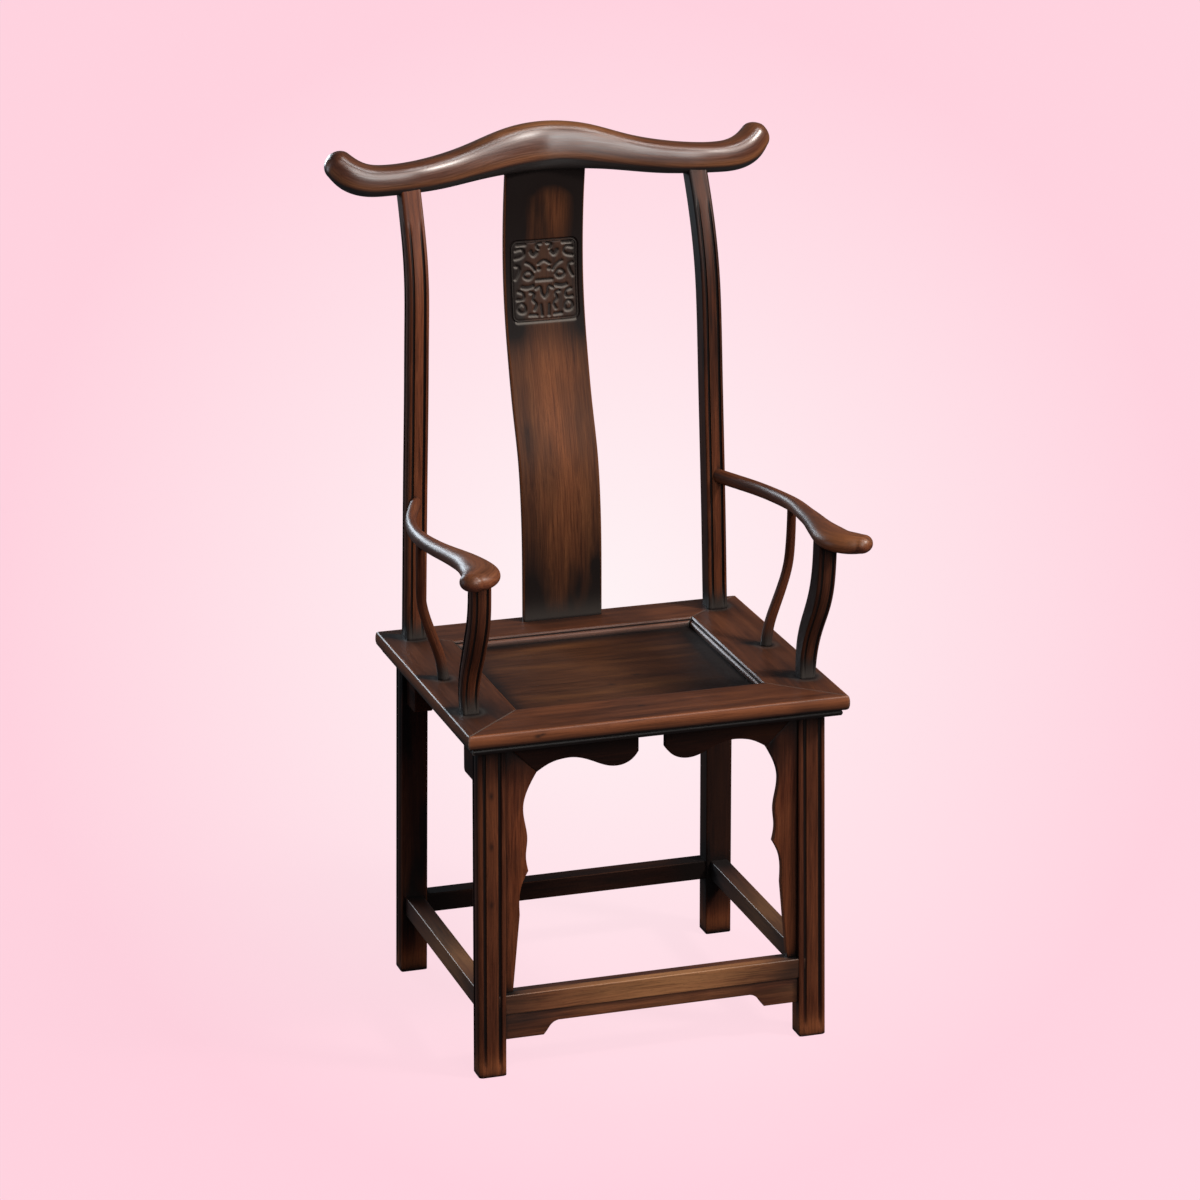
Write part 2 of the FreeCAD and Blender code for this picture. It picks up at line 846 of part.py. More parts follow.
def seat_peg(rear):
    bounds = mitre_tenon(rear, 0, 0).BoundBox
    end = back_tenon_end if rear else front_tenon_end
    start = Vector(half_width - end - seat_peg_inset, bounds.Center.y, frame_bottom)
    return Part.makeCylinder(seat_peg_radius, seat_peg_height, start)


def leg_tenon(extra, gap):
    height = leg_tenon_height + gap
    centre = leg_centre(False, frame_bottom) + Vector(0, 0, height / 2)
    return block(centre, leg_tenon_width + 2 * extra, leg_tenon_depth + 2 * extra, height)


def opening_box(spread, low, high):
    # a box that fills the frame's opening, out past the lip by the given spread
    front = front_rail_width + lip_depth - half_depth
    back = half_depth - back_rail_width - lip_depth
    across = half_width - side_rail_width - lip_depth
    near = Vector(-across - spread, front - spread, low)
    far = Vector(across + spread, back + spread, high)
    return box_between(near, far)


def panel_tongue(extra, gap):
    top = panel_top - tongue_drop
    return opening_box(tongue_length + gap, top - tongue_thickness - extra, top + extra)


def batten(place, extra):
    front = front_rail_width + lip_depth - half_depth
    back = half_depth - back_rail_width - lip_depth
    half = batten_width / 2 + extra
    neck = half - dovetail_flare
    top = panel_bottom + dovetail_depth + extra
    points = [
        Vector(place - half, front, frame_bottom),
        Vector(place + half, front, frame_bottom),
        Vector(place + half, front, panel_bottom),
        Vector(place + neck, front, panel_bottom),
        Vector(place + half, front, top),
        Vector(place - half, front, top),
        Vector(place - neck, front, panel_bottom),
        Vector(place - half, front, panel_bottom),
    ]
    return slab(points, Vector(0, back - front, 0))


def batten_ends(place, extra, gap):
    front = front_rail_width + lip_depth - half_depth
    back = half_depth - back_rail_width - lip_depth
    height = (panel_bottom - frame_bottom) / 2 + 2 * extra
    width = batten_width - 2 * dovetail_flare + 2 * extra
    centre = Vector(place, (front + back) / 2, (panel_bottom + frame_bottom) / 2)
    return block(centre, width, back - front + 2 * (batten_tenon + gap), height)


def seat_panel():
    panel = opening_box(-panel_gap, panel_bottom, panel_top).fuse(panel_tongue(0, 0))
    return panel.cut([batten(place, clearance) for place in batten_places])


def batten_piece(place):
    return batten(place, 0).fuse(batten_ends(place, 0, 0))


def end_rail(rear):
    rail = end_rail_blank(rear).fuse(with_mirror([mitre_tenon(rear, 0, 0)]))
    cuts = [panel_tongue(clearance, end_gap)]
    cuts += [batten_ends(place, clearance, end_gap) for place in batten_places]
    cuts += with_mirror([seat_peg(rear)])
    if rear:
        cuts += with_mirror([post_in_seat(grown(post_width), grown(post_depth))])
        cuts.append(splat_foot_tongue(clearance, end_gap))
    else:
        cuts += with_mirror([leg_tenon(clearance, end_gap)])
    return rail.cut(cuts)


def side_rail():
    cuts = [
        panel_tongue(clearance, end_gap),
        mitre_tenon(False, clearance, end_gap),
        mitre_tenon(True, clearance, end_gap),
        seat_peg(False),
        seat_peg(True),
        leg_tenon(clearance, end_gap),
        post_in_seat(grown(post_width), grown(post_depth)),
        neck_foot(clearance, end_gap),
        spindle_foot(clearance, end_gap),
        bracket_tenon(False, clearance, end_gap),
        bracket_tenon(True, clearance, end_gap),
    ]
    return side_rail_blank().cut(cuts)


# Front aprons


def apron_spot(across, height):
    return Vector(across, apron_setback - half_depth, height)


def mitre_foot():
    return apron_spot(leg_inner_face(frame_bottom) - mitre_drop, frame_bottom - mitre_drop)


def apron_head():
    middle = apron_middle_gap / 2
    length = leg_inner_face(frame_bottom) - middle
    corner = apron_spot(leg_inner_face(frame_bottom), frame_bottom)
    points = [apron_spot(middle, frame_bottom - head_end_drop)]
    for along, drop in head_shares:
        points.append(apron_spot(middle + length * along, frame_bottom - head_drop * drop))
    points.append(mitre_foot())
    edges = [
        line(apron_spot(middle, frame_bottom), points[0]),
        curve_through(points).toShape(),
        line(points[-1], corner),
        line(corner, apron_spot(middle, frame_bottom)),
    ]
    return prism(edges, Vector(0, apron_thickness, 0))


def stile_spot(wide, down):
    # wide: share of the mitre's width out from the leg; down: share of the way to the stretcher
    height = mitre_foot().z - (mitre_foot().z - stretcher_top) * down
    return apron_spot(leg_inner_face(height) - mitre_drop * wide, height)


def apron_stile():
    cusp = stile_spot(*stile_cusp_share)
    upper = [mitre_foot()] + [stile_spot(*share) for share in stile_upper_shares] + [cusp]
    lower = [cusp] + [stile_spot(*share) for share in stile_lower_shares]
    foot = apron_spot(leg_inner_face(stretcher_top) - stile_foot_width, stretcher_top)
    foot_out = apron_spot(leg_inner_face(stretcher_top) + apron_tongue, stretcher_top)
    corner = apron_spot(leg_inner_face(frame_bottom), frame_bottom)
    corner_out = apron_spot(corner.x + apron_tongue, frame_bottom)
    edges = [
        curve_through(upper).toShape(),
        curve_through(lower).toShape(),
        line(lower[-1], foot),
        line(foot, foot_out),
        line(foot_out, corner_out),
        line(corner_out, corner),
        line(corner, upper[0]),
    ]
    return prism(edges, Vector(0, apron_thickness, 0))


def apron_groove():
    depth = apron_tongue + end_gap
    points = [
        apron_spot(leg_inner_face(stretcher_top) - cutter_overrun / 2, stretcher_top),
        apron_spot(leg_inner_face(stretcher_top) + depth, stretcher_top),
        apron_spot(leg_inner_face(frame_bottom) + depth, frame_bottom + end_gap),
        apron_spot(leg_inner_face(frame_bottom) - cutter_overrun / 2, frame_bottom + end_gap),
    ]
    return slab([point - Vector(0, clearance, 0) for point in points], Vector(0, grown(apron_thickness), 0))


# Stretchers


def long_box(centre, width, depth, height):
    bar = block(centre, width, depth, height)
    length = max(width, depth)
    long_edges = [edge for edge in bar.Edges if edge.Length == length]
    return bar.makeFillet(stretcher_rounding, long_edges)


def cross_stretcher(rear, legs):
    middle = leg_centre(rear, stretcher_middle)
    bar = long_box(Vector(0, middle.y, middle.z), 2 * middle.x, stretcher_width, stretcher_height)
    return bar.cut(with_mirror([legs[rear]])).fuse(cross_tenon(rear, 0, 0))


def cross_tenon(rear, extra, gap):
    middle = leg_centre(rear, stretcher_middle)
    length = 2 * (leg_inner_face(stretcher_middle) + front_tenon_length + gap)
    height = stretcher_tenon_height + 2 * extra
    return block(Vector(0, middle.y, middle.z), length, stretcher_tenon_thickness + 2 * extra, height)


def side_stretcher(legs):
    front = leg_centre(False, stretcher_middle)
    rear = leg_centre(True, stretcher_middle)
    centre = (front + rear) / 2
    bar = long_box(centre, stretcher_width, rear.y - front.y, stretcher_height)
    return bar.cut(legs).fuse(side_tenon(0, 0))


def side_tenon(extra, gap):
    front = leg_centre(False, stretcher_middle)
    rear = leg_centre(True, stretcher_middle)
    length = rear.y - front.y - leg_depth + 2 * (side_tenon_length + gap)
    height = stretcher_tenon_height + 2 * extra
    return block((front + rear) / 2, stretcher_tenon_thickness + 2 * extra, length, height)


def foot_rail_apron(thickness, tongue):
    # hangs under the front stretcher, with an ear at each leg
    front = foot_apron_setback - half_depth - (thickness - foot_apron_thickness) / 2
    end = leg_inner_face(stretcher_floor_gap) + tongue
    low = stretcher_floor_gap - foot_apron_height
    edges = []
    for side, ear in ((-1, foot_apron_left_ear), (1, foot_apron_right_ear)):
        start = leg_inner_face(stretcher_floor_gap) - ear - foot_apron_curve_length
        points = []
        for along, drop in foot_curve_shares:
            across = side * (start + foot_apron_curve_length * along)
            points.append(Vector(across, front, low - foot_apron_ear * drop))
        low_end = Vector(side * end, front, low - foot_apron_ear)
        top_end = Vector(side * end, front, stretcher_floor_gap)
        edges.append(curve_through(points).toShape())
        edges.append(line(points[-1], low_end))
        edges.append(line(low_end, top_end))
        edges.append(line(top_end, Vector(0, front, stretcher_floor_gap)))
        edges.append(line(Vector(0, front, low), points[0]))
    return prism(edges, Vector(0, thickness, 0)).removeSplitter()


# Brackets under the side rails


def bracket(rear, legs):
    leg = leg_centre(rear, frame_bottom)
    length = rear_bracket_length if rear else front_bracket_length
    side = -1 if rear else 1
    free_end = leg.y + side * (leg_depth / 2 + length)
    outer = half_width - bracket_side_setback
    low = Vector(outer - bracket_width, min(leg.y, free_end), frame_bottom - bracket_height)
    high = Vector(outer, max(leg.y, free_end), frame_bottom)
    body = box_between(low, high)
    corner = [edge for edge in body.Edges if is_free_low_edge(edge, free_end)]
    body = body.makeFillet(bracket_rounding, corner)
    return body.cut(legs[rear]).fuse(bracket_tenon(rear, 0, 0))


def is_free_low_edge(edge, free_end):
    bounds = edge.BoundBox
    flat = bounds.ZLength < clearance and bounds.YLength < clearance
    low = bounds.ZMin < frame_bottom - bracket_height / 2
    return flat and low and abs(bounds.YMin - free_end) < clearance


def bracket_tenon(rear, extra, gap):
    leg = leg_centre(rear, frame_bottom)
    length = rear_bracket_length if rear else front_bracket_length
    side = -1 if rear else 1
    across = half_width - bracket_side_setback - bracket_width / 2
    deep = leg.y + side * (leg_depth / 2 + length / 2)
    height = bracket_tenon_height + gap
    centre = Vector(across, deep, frame_bottom + height / 2)
    return block(centre, bracket_tenon_width + 2 * extra, bracket_tenon_length + 2 * extra, height)


# The whole chair, right-hand pieces first


def front_leg(blank):
    cuts = [
        cross_tenon(False, clearance, end_gap),
        side_tenon(clearance, end_gap),
        apron_groove(),
        foot_rail_apron(grown(foot_apron_thickness), apron_tongue + end_gap),
    ]
    return blank.fuse(leg_tenon(0, 0)).cut(cuts)


def back_post(blank, crest):
    post = post_blank().cut(crest).fuse(post_tenon(0, 0))
    timber = blank.fuse([post_in_seat(post_width, post_depth), post])
    cuts = [
        cross_tenon(True, clearance, end_gap),
        side_tenon(clearance, end_gap),
        arm_tenon(clearance, end_gap),
        crest_peg(),
    ]
    return timber.cut(cuts).removeSplitter()


def crest_rail(blank):
    cuts = with_mirror([post_tenon(clearance, end_gap), crest_peg()])
    cuts.append(splat_top_tongue(clearance, end_gap))
    return blank.cut(cuts)


def arm(blank):
    body = blank.cut(post_blank()).fuse(arm_tenon(0, 0))
    return body.cut([neck_head_tenon(clearance, end_gap), spindle_head_tenon(clearance, end_gap)])


def arm_front_post(arm_shape):
    return neck_blank().cut(arm_shape).fuse([neck_head_tenon(0, 0), neck_foot(0, 0)])


def arm_side_post(arm_shape):
    return spindle_blank().cut(arm_shape).fuse([spindle_head_tenon(0, 0), spindle_foot(0, 0)])


def paired_pieces():
    legs = [leg_blank(False), leg_blank(True)]
    crest = crest_blank()
    arm_shape = arm_blank()
    return {
        "front_leg": front_leg(legs[False]),
        "back_post": back_post(legs[True], crest),
        "arm": arm(arm_shape),
        "arm_front_post": arm_front_post(arm_shape),
        "arm_side_post": arm_side_post(arm_shape),
        "seat_rail": side_rail(),
        "apron_head": apron_head(),
        "apron_stile": apron_stile(),
        "front_bracket": bracket(False, legs),
        "rear_bracket": bracket(True, legs),
        "side_stretcher": side_stretcher(legs),
    }


def single_pieces():
    legs = [leg_blank(False), leg_blank(True)]
    crest = crest_blank()
    pegs = crest_peg().common(crest)
    corner_pegs = with_mirror([seat_peg(False), seat_peg(True)])
    return {
        "crest_rail": crest_rail(crest),
        "splat": splat_piece(crest),
        "seat_rail_front": end_rail(False),
        "seat_rail_back": end_rail(True),
        "seat_panel": seat_panel(),
        "seat_batten_left": batten_piece(batten_places[0]),
        "seat_batten_right": batten_piece(batten_places[1]),
        "front_stretcher": cross_stretcher(False, legs),
        "rear_stretcher": cross_stretcher(True, legs),
        "front_stretcher_apron": foot_rail_apron(foot_apron_thickness, apron_tongue),
        "crest_pegs": Part.makeCompound(with_mirror([pegs])),
        "seat_corner_pegs": Part.makeCompound(corner_pegs),
    }


pieces = single_pieces()
for name, shape in paired_pieces().items():
    pieces[name + "_right"] = shape
    pieces[name + "_left"] = mirrored(shape)

# The origin is on the floor, under the middle of the whole chair
reach_back = pieces["crest_rail"].optimalBoundingBox().YMax
reach_front = pieces["arm_right"].optimalBoundingBox().YMin
to_middle = Vector(0, -(reach_back + reach_front) / 2, 0)

os.makedirs("parts", exist_ok=True)
for name, shape in pieces.items():
    shape.translate(to_middle)
    shape.exportStep("parts/" + name + ".step")
    print(name, len(shape.Solids), shape.isValid(), round(shape.Volume))
print("moved by", round(to_middle.y, 3))
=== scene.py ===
# %% [markdown]
# The official hat chair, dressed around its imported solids.
# The solids already have every timber in its place, so this lesson rebuilds each visible timber
# as a fine mesh on the same curves, and gives it the finish of old oiled hardwood.
# A fine mesh can hold three things that a plain solid can't: soft worn edges, the run of the
# grain along every bent piece, and marks that say where hands rubbed it and where dirt and
# dust stayed.

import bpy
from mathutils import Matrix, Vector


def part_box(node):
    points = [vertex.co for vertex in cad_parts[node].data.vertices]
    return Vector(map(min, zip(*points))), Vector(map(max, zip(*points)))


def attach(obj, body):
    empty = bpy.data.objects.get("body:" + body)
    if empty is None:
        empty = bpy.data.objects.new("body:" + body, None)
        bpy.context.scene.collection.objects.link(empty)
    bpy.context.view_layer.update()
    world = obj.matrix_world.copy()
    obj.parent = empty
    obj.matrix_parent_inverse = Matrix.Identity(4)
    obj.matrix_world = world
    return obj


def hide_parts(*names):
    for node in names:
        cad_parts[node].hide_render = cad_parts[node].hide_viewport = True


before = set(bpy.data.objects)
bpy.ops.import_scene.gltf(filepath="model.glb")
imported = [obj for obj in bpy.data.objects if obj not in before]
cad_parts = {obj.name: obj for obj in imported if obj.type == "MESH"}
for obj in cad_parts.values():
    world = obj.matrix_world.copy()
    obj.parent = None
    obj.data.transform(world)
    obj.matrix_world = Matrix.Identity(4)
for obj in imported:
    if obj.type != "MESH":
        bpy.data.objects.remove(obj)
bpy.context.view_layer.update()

# %% [markdown]
# Every size is in metres. The places of the seat come from the frame, and the sizes of the
# timbers are named as a joiner would name them. Right-hand pieces are drawn, and the left-hand
# ones are the same with the sideways values turned over.

# %% The seat as the frame gives it
import math

import bmesh
import bpy
import numpy as np
from mathutils import Euler, Vector

seat_low, seat_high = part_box("seat_rail_right")
seat_height = seat_high.z
frame_bottom = seat_low.z
half_width = seat_high.x
half_depth = (seat_high.y - seat_low.y) / 2
seat_middle = (seat_high.y + seat_low.y) / 2
SIDES = {"right": 1, "left": -1}
print("seat", round(2 * half_width, 3), "by", round(2 * half_depth, 3), "at height", round(seat_height, 3))

# %% [markdown]
# A bent timber is drawn by a few stations. A spline runs through them, as a
# thin batten bent round nails does on a workshop floor. It is worked out by hand here because
# the same line also carries widths, groove depths and leans from station to station.

# %% A spline through a few stations
DENSE = 1.0


def steps(count):
    return max(4, int(count * DENSE))


def spline(knots, rows, spots):
    count = len(knots)
    gaps = np.diff(knots)
    system = np.zeros((count, count))
    system[0, 0] = system[-1, -1] = 1
    target = np.zeros_like(rows)
    slopes = np.diff(rows, axis=0) / gaps[:, None]
    for index in range(1, count - 1):
        system[index, index - 1 : index + 2] = (
            gaps[index - 1],
            2 * (gaps[index - 1] + gaps[index]),
            gaps[index],
        )
        target[index] = 6 * (slopes[index] - slopes[index - 1])
    bend = np.linalg.solve(system, target)
    left = np.clip(np.searchsorted(knots, spots) - 1, 0, count - 2)
    gap = gaps[left][:, None]
    before = (knots[left + 1] - spots)[:, None] / gap
    after = 1 - before
    straight = before * rows[left] + after * rows[left + 1]
    curved = (before**3 - before) * bend[left] + (after**3 - after) * bend[left + 1]
    return straight + curved * gap**2 / 6


def lengths_along(points):
    return np.concatenate([[0], np.cumsum(np.linalg.norm(np.diff(points, axis=0), axis=1))])


def smooth(rows, count, placed=3):
    # the first columns are places, and the rest ride along with them
    rows = np.array(rows, float)
    knots = lengths_along(rows[:, :placed])
    return spline(knots, rows, np.linspace(0, knots[-1], count))


print("stations are dense by", DENSE)

# %% [markdown]
# Small curves shape the marks of use: a soft step from nothing to full, and a soft hump around
# a place. They work on whole lists of points at once.

# %% Soft steps and humps


def soft_step(value, start, end):
    share = np.clip((value - start) / (end - start), 0, 1)
    return share * share * (3 - 2 * share)


def hump(value, place, spread):
    return np.exp(-(((value - place) / spread) ** 2))


print("a soft step half way is", soft_step(0.5, 0, 1), "and a hump at its place is", hump(0, 0, 1))

# %% [markdown]
# Every timber is a chain of rings joined by quads, with a cap at each end. Along with the
# shape, each point keeps a place in the board that the timber was cut from. The finish reads
# its grain there, so the grain follows each bend, as it does in wood sawn and bent to shape.
# Wear says where the surface is rubbed golden. Grime and shade, where it is close to black,
# comes from real dirt and from painted shade. Dust and highlight, where a pale film lies on
# it, comes from real dust and from painted highlights.

# %% Rings to a timber
BOARD_STEP = np.array([611.0, 173.0, 97.0])
SHARP_ANGLE = math.radians(38)
MILLIMETRES = 1000.0
DUST_AT_SEAT = 0.15
DUST_REACH = 0.022
LEAST_MARK, MOST_MARK = -1, 2
boards = []


def keep_marks(mesh, grain, **marks):
    offset = BOARD_STEP * (len(boards) + 1)
    board = mesh.attributes.new("grain", "FLOAT_VECTOR", "POINT")
    board.data.foreach_set("vector", (grain * MILLIMETRES + offset).astype(np.float32).ravel())
    for name, values in marks.items():
        kept = mesh.attributes.new(name, "FLOAT", "POINT")
        kept.data.foreach_set("value", np.clip(values, LEAST_MARK, MOST_MARK).astype(np.float32).ravel())


def ring_faces(count, around):
    index = np.arange(count * around).reshape(count, around)
    ahead = np.roll(index, -1, axis=1)
    quads = np.stack([index[:-1], ahead[:-1], ahead[1:], index[1:]], axis=-1)
    return quads.reshape(-1, 4).tolist() + [index[0][::-1].tolist(), index[-1].tolist()]


def tidy_mesh(mesh):
    shape = bmesh.new()
    shape.from_mesh(mesh)
    bmesh.ops.recalc_face_normals(shape, faces=shape.faces)
    shape.to_mesh(mesh)
    shape.free()
    mesh.polygons.foreach_set("use_smooth", [True] * len(mesh.polygons))
    mesh.set_sharp_from_angle(angle=SHARP_ANGLE)


def settled_dust(rings):
    # a little dust stays on everything just above the seat
    above = rings[:, :, 2] - seat_height
    return DUST_AT_SEAT * hump(above, 0, DUST_REACH) * (above > 0)


def timber(node, rings, grain, wear, grime, finish, slot, dust=0):
    mesh = bpy.data.meshes.new(node + "_timber")
    mesh.from_pydata(rings.reshape(-1, 3).tolist(), [], ring_faces(*rings.shape[:2]))
    keep_marks(mesh, grain, wear=wear, grime=grime, dust=settled_dust(rings) + dust)
    tidy_mesh(mesh)
    return settle(node, mesh, finish, slot)


def settle(node, mesh, finish, slot):
    piece = bpy.data.objects.new(node + "_timber", mesh)
    bpy.context.scene.collection.objects.link(piece)
    mesh.materials.append(finish)
    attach(piece, "root")
    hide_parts(node)
    boards.append(node)
    report_fit(node, mesh)
    return piece


def report_fit(node, mesh):
    places = np.array([vertex.co for vertex in mesh.vertices])
    low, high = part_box(node)
    apart = np.concatenate([places.min(0) - np.array(low), places.max(0) - np.array(high)])
    print(node, len(mesh.vertices), "points, off its solid's box by mm", np.round(apart * MILLIMETRES, 1))


print("each point keeps its grain, wear, grime and dust")

# %% [markdown]
# Now the finish. Dark Chinese hardwood, oiled and handled for a long time, is a layered look:
# a red-brown ground with darker growth bands, fine streaks along the grain, short dark pores,
# golden places where the edges are rubbed, and black dirt in every groove and corner.
# It could be painted on a picture, but then it would not follow a change of size. Here nodes
# work it out from the place in the board, so it is right at any distance.

# %% Short words for nodes


def put(tree, kind, settings, **inputs):
    # an input's name, or an underscore and its place in the node's list
    node = tree.nodes.new("ShaderNode" + kind)
    for name, value in settings.items():
        setattr(node, name, value)
    for name, value in inputs.items():
        socket = node.inputs[int(name[1:])] if name[0] == "_" else node.inputs[name]
        if isinstance(value, bpy.types.NodeSocket):
            tree.links.new(value, socket)
        else:
            socket.default_value = value
    return node


def maths(tree, operation, first, second=0.0, clamp=False):
    settings = {"operation": operation, "use_clamp": clamp}
    return put(tree, "Math", settings, _0=first, _1=second).outputs[0]


def stretched(tree, vector, scale):
    return put(tree, "VectorMath", {"operation": "MULTIPLY"}, _0=vector, _1=scale).outputs[0]


def cloud(tree, vector, scale, detail, roughness):
    place = stretched(tree, vector, scale)
    noise = put(tree, "TexNoise", {}, Vector=place, Scale=1.0, Detail=detail, Roughness=roughness)
    return noise.outputs["Fac"]


def levels(tree, value, low, high, start, end):
    # a soft step from start, where the value is low, to end, where it is high
    settings = {"interpolation_type": "SMOOTHSTEP"}
    inputs = {"_0": value, "_1": low, "_2": high, "_3": start, "_4": end}
    return put(tree, "MapRange", settings, **inputs).outputs[0]


def mark(tree, name):
    return put(tree, "Attribute", {"attribute_name": name}).outputs["Fac"]


def blend(tree, share, first, second, way="MIX"):
    settings = {"data_type": "RGBA", "blend_type": way, "clamp_factor": True}
    return put(tree, "Mix", settings, _0=share, _6=first, _7=second).outputs[2]


def ramp(tree, value, stops):
    node = put(tree, "ValToRGB", {}, Fac=value)
    elements = node.color_ramp.elements
    while len(elements) < len(stops):
        elements.new(1.0)
    for element, (place, colour) in zip(elements, stops):
        element.position = place
        element.color = (*colour, 1.0)
    return node.outputs["Color"]


print("words for nodes: put, maths, stretched, cloud, levels, mark, blend, ramp")

# %% [markdown]
# The growth bands and streaks are clouds of noise, squeezed thin across the board and drawn
# long along it. The numbers are per millimetre: 0.01 along the grain means that a streak is
# about 100 mm long, and 0.5 across it means that it is about 2 mm wide.

# %% The figure of the wood
# scale along and across the grain, detail, roughness
GRAIN_LAYERS = {
    "bands": ((0.0035, 0.085, 0.085), 2.0, 0.55),
    "streaks": ((0.014, 0.55, 0.55), 3.0, 0.6),
    "hairs": ((0.03, 1.7, 1.7), 2.0, 0.55),
    "pores": ((0.11, 2.4, 2.4), 1.0, 0.55),
}
PATCHES = ((0.006, 0.026, 0.026), 2.0, 0.55)
RIPPLES = ((0.012, 0.03, 0.03), 1.0, 0.55)
WANDER_SCALE = (0.007, 0.022, 0.022)
WANDER_DETAIL = 2.0
WANDER_REACH = (0.0, 9.0, 9.0)
HALF = (0.5, 0.5, 0.5)


def wandering_grain(tree, source):
    # bends the straight grain sideways by a few millimetres
    place = stretched(tree, source, WANDER_SCALE)
    noise = put(tree, "TexNoise", {}, Vector=place, Scale=1.0, Detail=WANDER_DETAIL)
    centred = put(tree, "VectorMath", {"operation": "SUBTRACT"}, _0=noise.outputs["Color"], _1=HALF)
    moved = stretched(tree, centred.outputs[0], WANDER_REACH)
    return put(tree, "VectorMath", {"operation": "ADD"}, _0=source, _1=moved).outputs[0]


def figure(tree, source):
    grain = wandering_grain(tree, source)
    marks = {name: cloud(tree, grain, *layer) for name, layer in GRAIN_LAYERS.items()}
    marks["patches"] = cloud(tree, source, *PATCHES)
    return marks


print("layers of the figure:", ", ".join(GRAIN_LAYERS), "and patches")

# %% [markdown]
# The finish itself puts the layers together. Wherever two timbers meet, an occlusion node
# darkens the colour where close surfaces wall a point in, whichever piece they belong to:
# partly dirt and partly painted shade in the corners. The gloss varies with the figure, and a
# small bump lets the streaks catch the light.

# %% Old oiled hardwood
# near-black for dirt, and for painted shade and painted shadows
GRIME_AND_SHADE_BLACK = (0.0078, 0.0050, 0.0045)
GOLDEN = (0.215, 0.082, 0.026)
RUSSET = (0.190, 0.060, 0.022)
STRAW = (0.290, 0.130, 0.050)
# pale film for real dust, and for painted highlights on the carving
PALE_DUST_AND_HIGHLIGHT = (0.165, 0.145, 0.128)
COAT_ROUGHNESS = 0.30
CORNER_REACH = 0.042
CORNER_SAMPLES = 6
RIPPLE_DEPTH = 0.0006
RIPPLE_STRENGTH = 0.35
FIBRE_DEPTH = 0.00004
FIBRE_STRENGTH = 0.4
# each soft step's low and high, and what it gives there
CORNER_LEVELS = (0.38, 0.86, 1.0, 0.0)
HAIR_LEVELS = (0.38, 0.62, 0.76, 1.08)
PALE_LEVELS = (0.5, 0.75, 0.0, 0.22)
RUBBED_LEVELS = (0.3, 0.6, 0.45, 1.0)
PORE_LEVELS = (0.62, 0.72, 0.0, 0.5)
DARK_LEVELS = (0.28, 0.47, 0.32, 0.0)
GLOSSY_STREAK, DULL_STREAK = 0.3, 0.7
MATT_FROM = 0.7
MATT_SHARE = 0.25
STREAKY = 0.035
BROWN_PLACES = (0.34, 0.5, 0.66)


# painted shade and dirt where close surfaces wall a point in
def corner_dirt_and_shade(tree):
    walls = put(tree, "AmbientOcclusion", {"samples": CORNER_SAMPLES}, Distance=CORNER_REACH)
    return levels(tree, walls.outputs["AO"], *CORNER_LEVELS)


def surface_shape(tree, source, marks):
    ripples = {"Strength": RIPPLE_STRENGTH, "Distance": RIPPLE_DEPTH}
    ripples["Height"] = cloud(tree, source, *RIPPLES)
    fibres = {"Strength": FIBRE_STRENGTH, "Distance": FIBRE_DEPTH, "Height": marks["streaks"]}
    fibres["Normal"] = put(tree, "Bump", {}, **ripples).outputs[0]
    return put(tree, "Bump", {}, **fibres).outputs[0]


def wood_colour(tree, marks, ground, worn):
    shade = maths(tree, "ADD", marks["bands"], marks["streaks"])
    colour = ramp(tree, maths(tree, "MULTIPLY", shade, 0.5), ground)
    hairs = levels(tree, marks["hairs"], *HAIR_LEVELS)
    hairs = put(tree, "CombineXYZ", {}, _0=hairs, _1=hairs, _2=hairs).outputs[0]
    colour = blend(tree, 1.0, colour, hairs, "MULTIPLY")
    pale = levels(tree, marks["patches"], *PALE_LEVELS)
    worn_streaks = levels(tree, marks["streaks"], *RUBBED_LEVELS)
    rubbed = maths(tree, "MULTIPLY", mark(tree, "wear"), worn_streaks)
    return blend(tree, maths(tree, "ADD", rubbed, pale, True), colour, (*worn, 1.0))


def dirt_and_shade_share(tree, marks, grime):
    # painted shade and dirt in corners, or pores, whichever is darker, over the dirt and painted shade
    # that the piece keeps
    dark = levels(tree, marks["patches"], *DARK_LEVELS)
    kept = maths(tree, "ADD", maths(tree, "ADD", grime, dark), corner_dirt_and_shade(tree))
    dirt = maths(tree, "MAXIMUM", kept, levels(tree, marks["pores"], *PORE_LEVELS), True)
    return maths(tree, "MINIMUM", dirt, 1.0)


def roughness(tree, marks, grime, rough, streaky):
    # the streaks differ in gloss, and thick dirt is matt
    ends = (rough - streaky, rough + streaky)
    streaked = levels(tree, marks["streaks"], GLOSSY_STREAK, DULL_STREAK, *ends)
    thick = maths(tree, "SUBTRACT", grime, MATT_FROM, True)
    return maths(tree, "ADD", streaked, maths(tree, "MULTIPLY", thick, MATT_SHARE))


